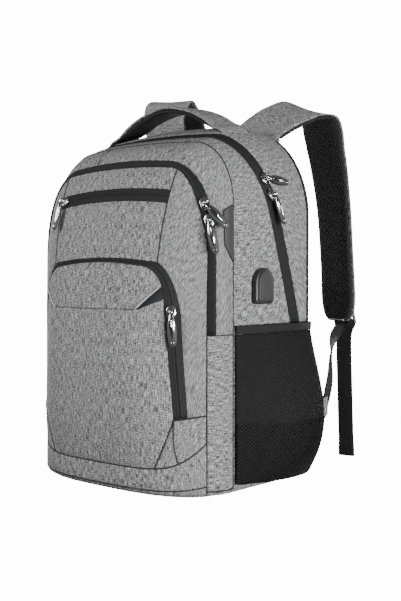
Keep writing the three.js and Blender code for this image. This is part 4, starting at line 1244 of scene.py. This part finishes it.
def strap_grid(
    rows, width, low, high, place=lambda p: p, steps=70, sides=36, square=7.0, span=(0, 1), ripple=0.0
):
    """A flat strap as one closed skin: a rounded section carried along its route."""

    def section(run, v):
        angle = 2 * math.pi * v
        a, b = math.cos(angle), math.sin(angle)
        aside = math.copysign(abs(a) ** (2 / square), a)
        rise = math.copysign(abs(b) ** (2 / SKIN["round"]), b)
        return aside, rise, at_run(width, run) / 2

    def skin(u, v):
        run = lerp(*span, u)
        centre, across, normal = strap_frame(rows, run)
        aside, rise, half = section(run, v)
        height = lerp(at_run(low, run), high, (rise + 1) / 2)
        wave = noise.noise(centre * SKIN["ripple_per_mm"] + Vector((aside, 0, 0)))
        height += ripple * wave * (1 - abs(aside))
        return place(centre + across * (aside * half) + normal * height)

    def chart(u, v):
        aside, rise, half = section(lerp(*span, u), v)
        return u * length, aside * half + SKIN["wrap"] * rise

    length = line_length(lambda k: route_point([Vector(row[:3]) for row in rows], lerp(*span, k)), 40)
    return closed_tube(mapped_grid(even(steps), even(sides), skin, chart))


def handle_underside(u):
    share = clamp((min(u, 1 - u) - HANDLE_FOOT[0]) / (HANDLE_FOOT[1] - HANDLE_FOOT[0]))
    return -lerp(HANDLE["foot_pad"], HANDLE["pad"], share**2)


handle_line = HANDLE_ARCH + [(-x, z, slope) for x, z, slope in reversed(HANDLE_ARCH[:-1])]
handle_rows = [(x + HANDLE["x"], HANDLE["y"], z, 0, 1, slope) for x, z, slope in handle_line]
handle_bm = strap_grid(handle_rows, HANDLE["width"], -OVERLAP["face"], HANDLE["face"], ripple=0.3)
add_piece(handle_bm, "handle_canvas", canvas, "canvas", ["handle_face"])
pad_width = HANDLE["width"] - OVERLAP["inset"]
handle_pad_bm = strap_grid(handle_rows, pad_width, handle_underside, -OVERLAP["pad"], square=4)
webbing_black = zip_weave("webbing_weave_black")
handle_pad = add_piece(handle_pad_bm, "handle_padding", webbing_black, "webbing", ["handle_lining"])


def across_strap(rows, u, half, height, place=lambda p: p):
    def line(k):
        centre, across, normal = strap_frame(rows, u)
        return place(centre + across * lerp(-half, half, k) + normal * height)

    return line


handle_ends = [
    across_strap(handle_rows, u, HANDLE_STITCHES["half"], HANDLE["face"]) for u in HANDLE_STITCHES["at"]
]
stitch_rows(handle_ends, "handle_stitches", lambda p: Vector((0, 0, 1)))

# Shoulder straps
# Foam straps with a canvas face and a black spacer net towards the wearer. The right one swings out
# behind the bag, and the left one stands up before it folds back. Both are sewn into the back's top seam.
STRAP = {"width": 63, "face": 2.6, "under": 0.9, "pad": 9, "pad_from": 0.19, "pad_inset": 1.2}
STRAP_HIGHLIGHT = {"at": 0.995, "inset": 3, "drop": 0.9, "radius": 1.1}
STRAP_ROOT = {"width": 73, "to": 0.2}
STRAP_END = {"width": 44, "taper": 0.9, "nose": 0.975}
# Each row of a strap or a web: a point of its middle line, then the way across it there.
STRAP_ROWS = {
    "right": [
        (67.5, 88.5, 438, 1, 0, -0.4),
        (68, 90.5, 450.5, 1, 0, -0.4),
        (71, 101, 460, 1, 0.03, -0.44),
        (77, 138, 480, 1, 0.12, -0.45),
        (83, 176, 491, 1, 0.2, -0.42),
        (89.5, 205, 478.5, 1, 0.1, -0.28),
        (98.5, 212.5, 430, 1, -0.12, -0.1),
        (111, 211, 360, 1, -0.26, -0.05),
        (118, 208.5, 295, 1, -0.3, 0),
        (121, 209, 236, 1, -0.28, 0.12),
        (121, 211, 196, 1, -0.24, 0.33),
    ],
    "left": [
        (96, 90, 425, 1, 0, -0.5),
        (99, 92, 444, 1, 0, -0.5),
        (105, 94, 465, 1, -0.25, -0.3),
        (110.5, 95.5, 488.5, 0.92, -0.4, -0.12),
        (112, 103, 506, 0.85, -0.53, -0.03),
        (116, 121, 514.5, 0.82, -0.57, 0),
        (124, 152, 493, 0.9, -0.45, 0),
        (128, 185, 440, 1, -0.28, 0),
        (123, 204.5, 350, 1, -0.24, 0),
        (121, 209, 245, 1, -0.22, 0.12),
        (121, 211, 196, 1, -0.24, 0.33),
    ],
}


def strap_width(u):
    flare = max(0, 1 - u / STRAP_ROOT["to"])
    taper = max(0, u - STRAP_END["taper"]) / (1 - STRAP_END["taper"])
    rounding = max(0, u - STRAP_END["nose"]) / (1 - STRAP_END["nose"])
    width = lerp(lerp(STRAP["width"], STRAP_END["width"], taper**2), STRAP_ROOT["width"], flare)
    return width * math.sqrt(1 - 0.5 * rounding**2)


strap_net = spacer_net("strap_spacer_net", 3.6, 0.03, 0.003)
for side, place in SIDES:
    rows = STRAP_ROWS[side]
    face_bm = strap_grid(rows, strap_width, -STRAP["under"], STRAP["face"], place, steps=120, ripple=0.5)
    add_piece(face_bm, f"strap_canvas_{side}", canvas, "canvas", [f"strap_face_{side}"])
    pad_bm = strap_grid(
        rows, lambda u: strap_width(u) - STRAP["pad_inset"], -STRAP["pad"], -OVERLAP["pad"], place, 120,
        square=5, span=(STRAP["pad_from"], 1),
    )
    pad = add_piece(pad_bm, f"strap_padding_{side}", strap_net, "net", [f"strap_pad_{side}"])
    # A pale cord across the strap's end: a painted highlight on that edge.
    at = STRAP_HIGHLIGHT["at"]
    half = strap_width(at) / 2 - STRAP_HIGHLIGHT["inset"]
    end_line = across_strap(rows, at, half, -STRAP["pad"] * STRAP_HIGHLIGHT["drop"], place)
    highlight_bm = cord_grid(end_line, 20, STRAP_HIGHLIGHT["radius"], 8)
    add_piece(highlight_bm, f"strap_painted_highlight_{side}", painted_highlight_pale, "canvas")

# Webbing, buckles and tabs
# Black ribbed webbing runs from a canvas tab on the back's lower corner up through a ladder buckle
# at the strap's end; its free tail hangs down behind and ends in a folded, stitched hem.
WEBBING = {"width": 25, "thickness": 1.6, "apart": 1.2}
BUCKLE = {"x": 122, "y": 220, "z": 201, "depth": 5, "tilt": 0.25, "edge": 0.9, "slot": 6.5}
BUCKLE_X = [-17, -14, 14, 17]
BUCKLE_Z = [-13, -9.5, -3.5, 3.5, 9.5, 13]
TILT = (math.cos(BUCKLE["tilt"]), 0, math.sin(BUCKLE["tilt"]))
SLOT_X = BUCKLE["x"] + BUCKLE["slot"] * TILT[2]
SLOT_Z = BUCKLE["z"] - BUCKLE["slot"] * TILT[0]
LOWER_ROWS = [
    (138.5, 146, 82, 0.15, -0.45, 0.87),
    (134, 166, 118, 0.2, -0.75, 0.4),
    (124.5, 184, 150, 0.45, -0.8, 0.3),
    (121, 203, 179, 1, -0.2, 0.15),
    (SLOT_X, BUCKLE["y"] - WEBBING["apart"], SLOT_Z, *TILT),
]
TAIL_ROWS = [
    (SLOT_X, BUCKLE["y"] + WEBBING["apart"], SLOT_Z, *TILT),
    (SLOT_X, BUCKLE["y"] + 6, SLOT_Z - 1, *TILT),
    (SLOT_X - 6, BUCKLE["y"] + 8, SLOT_Z - 18, 1, 0, 0.12),
    (120.5, BUCKLE["y"] + 5, 100, 1, 0, 0),
    (124, BUCKLE["y"] + 5, 2, 1, 0, 0),
]
LOOP_ROWS = [
    (120.5, 213, 216, 1, -0.2, 0.25),
    (121.5, 215.6, 208, *TILT),
    (SLOT_X - 0.5, BUCKLE["y"] - 3.4, SLOT_Z + 6, *TILT),
    (SLOT_X, BUCKLE["y"] - 3.2, SLOT_Z - 3, *TILT),
]
TAB_ROWS = [
    (143, 99, 70, 0, 0, 1),
    (142.5, 122, 74, 0.1, -0.3, 0.95),
    (141.5, 148, 84, 0.2, -0.45, 0.87),
]
HEM = {"from": 0.95, "to": 0.998, "thickness": 3.6, "wider": 0.6}
LOOP_WIDER = 2
TAB = {"root": 52, "end": 28}


def ladder_buckle(place):
    """A plate with two slots cut in it, thickened, eased along its edges and set at a tilt."""
    bm = mapped_grid(BUCKLE_X, BUCKLE_Z, lambda x, z: (x, 0, z), level_chart(1, 1))
    slots = []
    for face in bm.faces:
        middle = face.calc_center_median()
        if abs(middle.x) < 1 and abs(abs(middle.z) - BUCKLE["slot"]) < 0.5:
            slots.append(face)
    bmesh.ops.delete(bm, geom=slots, context="FACES_ONLY")
    bmesh.ops.solidify(bm, geom=bm.faces[:], thickness=BUCKLE["depth"])
    bmesh.ops.recalc_face_normals(bm, faces=bm.faces)
    sharp = [edge for edge in bm.edges if edge.calc_face_angle(0) > 1]
    eased_edge = {"offset": BUCKLE["edge"], "segments": 3, "profile": 0.5, "material": -1}
    bmesh.ops.bevel(bm, geom=sharp, affect="EDGES", **eased_edge)
    half_deep = sum(vert.co.y for vert in bm.verts) / len(bm.verts)
    for vert in bm.verts:
        across, up = vert.co.x, vert.co.z
        aside = across * TILT[0] - up * TILT[2]
        rise = across * TILT[2] + up * TILT[0]
        y = BUCKLE["y"] + vert.co.y - half_deep
        vert.co = place(Vector((BUCKLE["x"] + aside, y, BUCKLE["z"] + rise)))
    bmesh.ops.recalc_face_normals(bm, faces=bm.faces)
    return bm


def flat_web(rows, width, place, steps, thickness=WEBBING["thickness"], square=14, span=(0, 1)):
    half = thickness / 2
    return strap_grid(rows, width, -half, half, place, steps, 20, square, span)


def tab_width(u):
    return lerp(TAB["root"], TAB["end"], u)


for side, place in SIDES:
    for name, rows in (("lower", LOWER_ROWS), ("tail", TAIL_ROWS)):
        web_bm = flat_web(rows, WEBBING["width"], place, 60)
        web_name = f"webbing_{name}_weave_{side}"
        add_piece(web_bm, web_name, webbing_black, "webbing", [f"webbing_{name}_{side}"])
    loop_bm = flat_web(LOOP_ROWS, WEBBING["width"] + LOOP_WIDER, place, 16)
    add_piece(loop_bm, f"strap_end_loop_{side}", webbing_black, "webbing")
    hem_width = WEBBING["width"] + HEM["wider"]
    hem_bm = flat_web(TAIL_ROWS, hem_width, place, 6, HEM["thickness"], 12, (HEM["from"], HEM["to"]))
    add_piece(hem_bm, f"webbing_hem_{side}", webbing_black, "webbing")
    tab_bm = flat_web(TAB_ROWS, tab_width, place, 24)
    add_piece(tab_bm, f"webbing_tab_canvas_{side}", canvas, "canvas", [f"webbing_tab_{side}"])
    buckle_bm = ladder_buckle(place)
    add_piece(buckle_bm, f"buckle_moulding_{side}", plastic_black, "plastic", [f"buckle_{side}"])

# Zip sliders and pullers
# Cast, nickel-plated sliders: two shaped plates joined by a wedge, with two lugs that carry a bar.
# Each puller is a bright pointed loop set in a black rubber grip, and swings on the bar.
SLIDER = {"long": 15, "wide": 11, "axis": 6.4}
SLIDER_HALF = [(0.7, -1), (1, -0.4), (1, 0.5), (0.5, 1)]
LOWER_PLATE = [(-6.0, 0.94, 0.95), (-5.7, 1, 1), (-5.0, 1, 1)]
WEDGE = [(-4.8, 0.8, 0.86), (-4.1, 0.8, 0.86)]
UPPER_PLATE = [(-3.9, 1, 1), (-3.2, 1, 1), (-2.8, 0.9, 0.92)]
LUG = {"x": 3.5, "half": 1.9, "round": 0.8, "foot": -3.0, "spread": 1.2}
LUG_LEVELS = [(-0.8, 0.93, 0.96), (-0.6, 1, 1), (0.6, 1, 1), (0.8, 0.93, 0.96)]
BAR = 0.9
EYE = {"radius": 2.3, "bore": 1.35, "wide": 4.6}
LOOP_HALF = [(0.0, -31.0), (1.5, -27.5), (3.0, -22.0), (3.6, -15.0), (3.4, -9.0), (2.3, -5.5), (2.3, -2.0)]
LOOP_SLOT = [(0.0, -20.5), (1.2, -19.5), (1.6, -15.0), (1.6, -11.0), (1.2, -8.6), (0.0, -8.2)]
LOOP_LEVELS = [(-1.6, 0.9), (-1.2, 1), (1.2, 1), (1.6, 0.9)]
GRIP_TIP = [(0.0, -40.0), (2.2, -39.6), (3.9, -37.8), (5.0, -33.0)]
GRIP_NECK = [(5.5, -25.0), (5.3, -15.0), (4.0, -9.0), (2.0, -7.0)]
GRIP_LEVELS = [(-1.3, 0.88, 0.99), (-0.9, 1, 1), (0.9, 1, 1), (1.3, 0.88, 0.99)]
CHEVRON = [(0.0, -37.2), (2.6, -34.4), (2.6, -33.2), (0.0, -35.4), (-2.6, -33.2), (-2.6, -34.4)]
CHEVRON_LEVELS = [(1.2, 1, 1), (1.7, 1, 1)]
ROUND = {"bar": 16, "eye": 20, "lug": 8}
bar_turn = Matrix.Rotation(math.pi / 2, 4, "Y")


def both_halves(half):
    """An outline from its right half, from the foot up."""
    return half + [(-x, y) for x, y in reversed(half) if x > 0]


# Each slider: its zip, the tape it rides, its place on it, the puller's lean and the plates' turn.
SLIDERS = [
    ("main_upper", main_tape, 0.288, 62, -62),
    ("main_lower", main_tape, 0.2695, 0, 0),
    ("second_upper", second_tape, 0.304, 24, -24),
    ("second_lower", second_tape, 0.2855, 0, 0),
    ("front", front_tape, 0.9275, 0, 90),
    ("pocket", lambda k, f: pocket_tape(k, k, f), 0.2525, 0, 0),
]


def slider_spot(tape, at, lean):
    """The frame of a slider's bar: x along the bar, y away from the hanging puller, z out of the cloth."""
    near = 0.01
    centre = tape(at, 0.5)
    along = (tape(at - near, 0.5) - tape(at + near, 0.5)).normalized()
    out = along.cross(tape(at, 0.8) - tape(at, 0.2)).normalized()
    if out.dot(inward(centre)) > 0:
        out.negate()
    hangs = Vector((0, 0, -1)) if tape is front_tape else along
    flat = (hangs - out * hangs.dot(out)).normalized()
    down = Matrix.Rotation(math.radians(lean), 3, out) @ flat
    axis = out.cross(down).normalized()
    basis = Matrix((axis, -down, out)).transposed().to_4x4()
    return Matrix.Translation(centre + out * SLIDER["axis"]) @ basis


def slider_body(plate_turn):
    outline = [(x * SLIDER["wide"] / 2, y * SLIDER["long"] / 2) for x, y in both_halves(SLIDER_HALF)]
    bm = stacked(outline, LOWER_PLATE + WEDGE + UPPER_PLATE)
    turned = Matrix.Rotation(math.radians(plate_turn), 3, "Z")
    bmesh.ops.rotate(bm, verts=bm.verts, cent=(0, 0, 0), matrix=turned)
    bar = {"segments": ROUND["bar"], "radius1": BAR, "radius2": BAR, "depth": 2 * LUG["x"]}
    bmesh.ops.create_cone(bm, cap_ends=True, matrix=bar_turn, **bar)
    lug_profile = []
    for share in even(ROUND["lug"]):
        angle = math.pi * share
        lug_profile.append((LUG["half"] * math.cos(angle), LUG["half"] * math.sin(angle) * LUG["round"]))
    lug_profile += [(end * LUG["half"] * LUG["spread"], LUG["foot"]) for end in (-1, 1)]
    for end in (-1, 1):
        lug = stacked(lug_profile, LUG_LEVELS)
        spot = Matrix.Translation((end * LUG["x"], 0, 0)) @ side_on
        bmesh.ops.transform(lug, matrix=spot, verts=lug.verts)
        joined(bm, lug)
    return bm


def ring_plate(outer, inner, levels):
    """A plate with a hole: the walls of both outlines, joined above and below."""
    bm = bmesh.new()
    loops = []
    for outline in (outer, inner):
        for height, wide in levels:
            scale = wide if outline is outer else 1
            verts = [bm.verts.new((x * scale, y, height)) for x, y in outline]
            loops.append([bm.edges.new(pair) for pair in zip(verts, verts[1:] + verts[:1])])
    count = len(levels)
    walls = [(k, k + 1) for k in range(2 * count - 1) if k != count - 1]
    for first, second in walls + [(0, count), (count - 1, 2 * count - 1)]:
        bmesh.ops.bridge_loops(bm, edges=loops[first] + loops[second])
    bmesh.ops.recalc_face_normals(bm, faces=bm.faces)
    return bm


def puller_loop():
    """The pointed loop with its eye, a short pipe round the bar, and a chevron on its tip."""
    bm = ring_plate(both_halves(LOOP_HALF), both_halves(LOOP_SLOT), LOOP_LEVELS)
    count = ROUND["eye"]
    eye = bmesh.new()
    for radius in (EYE["radius"], EYE["bore"]):
        for x in (-EYE["wide"] / 2, EYE["wide"] / 2):
            spot = Matrix.Translation((x, 0, 0)) @ bar_turn
            bmesh.ops.create_circle(eye, segments=count, radius=radius, matrix=spot)
    eye.edges.ensure_lookup_table()
    rims = [eye.edges[k * count : (k + 1) * count] for k in range(4)]
    for first, second in ((0, 1), (2, 3), (0, 2), (1, 3)):
        bmesh.ops.bridge_loops(eye, edges=rims[first] + rims[second])
    bmesh.ops.recalc_face_normals(eye, faces=eye.faces)
    joined(bm, eye)
    joined(bm, stacked(CHEVRON, CHEVRON_LEVELS))
    return bm


def puller_grip():
    return stacked(both_halves(GRIP_TIP + GRIP_NECK), GRIP_LEVELS)


nickel = grained("nickel_bright", 0.16, 0.55, 0.7, 3.0, 0.00003, Metallic=1.0)
for name, tape, at, lean, plate_turn in SLIDERS:
    spot = slider_spot(tape, at, lean)
    parts = [
        (slider_body(plate_turn), "slider_cast", nickel, "zip_metal", [f"slider_{name}"], "bag"),
        (puller_loop(), "puller_loop", nickel, "zip_metal", [f"puller_{name}"], f"puller_{name}"),
        (puller_grip(), "puller_grip", rubber_black, "rubber", [], f"puller_{name}"),
    ]
    for bm, kind, material, slot, nodes, body in parts:
        bmesh.ops.transform(bm, matrix=spot, verts=bm.verts)
        add_piece(bm, f"{kind}_{name}", material, slot, nodes, body)
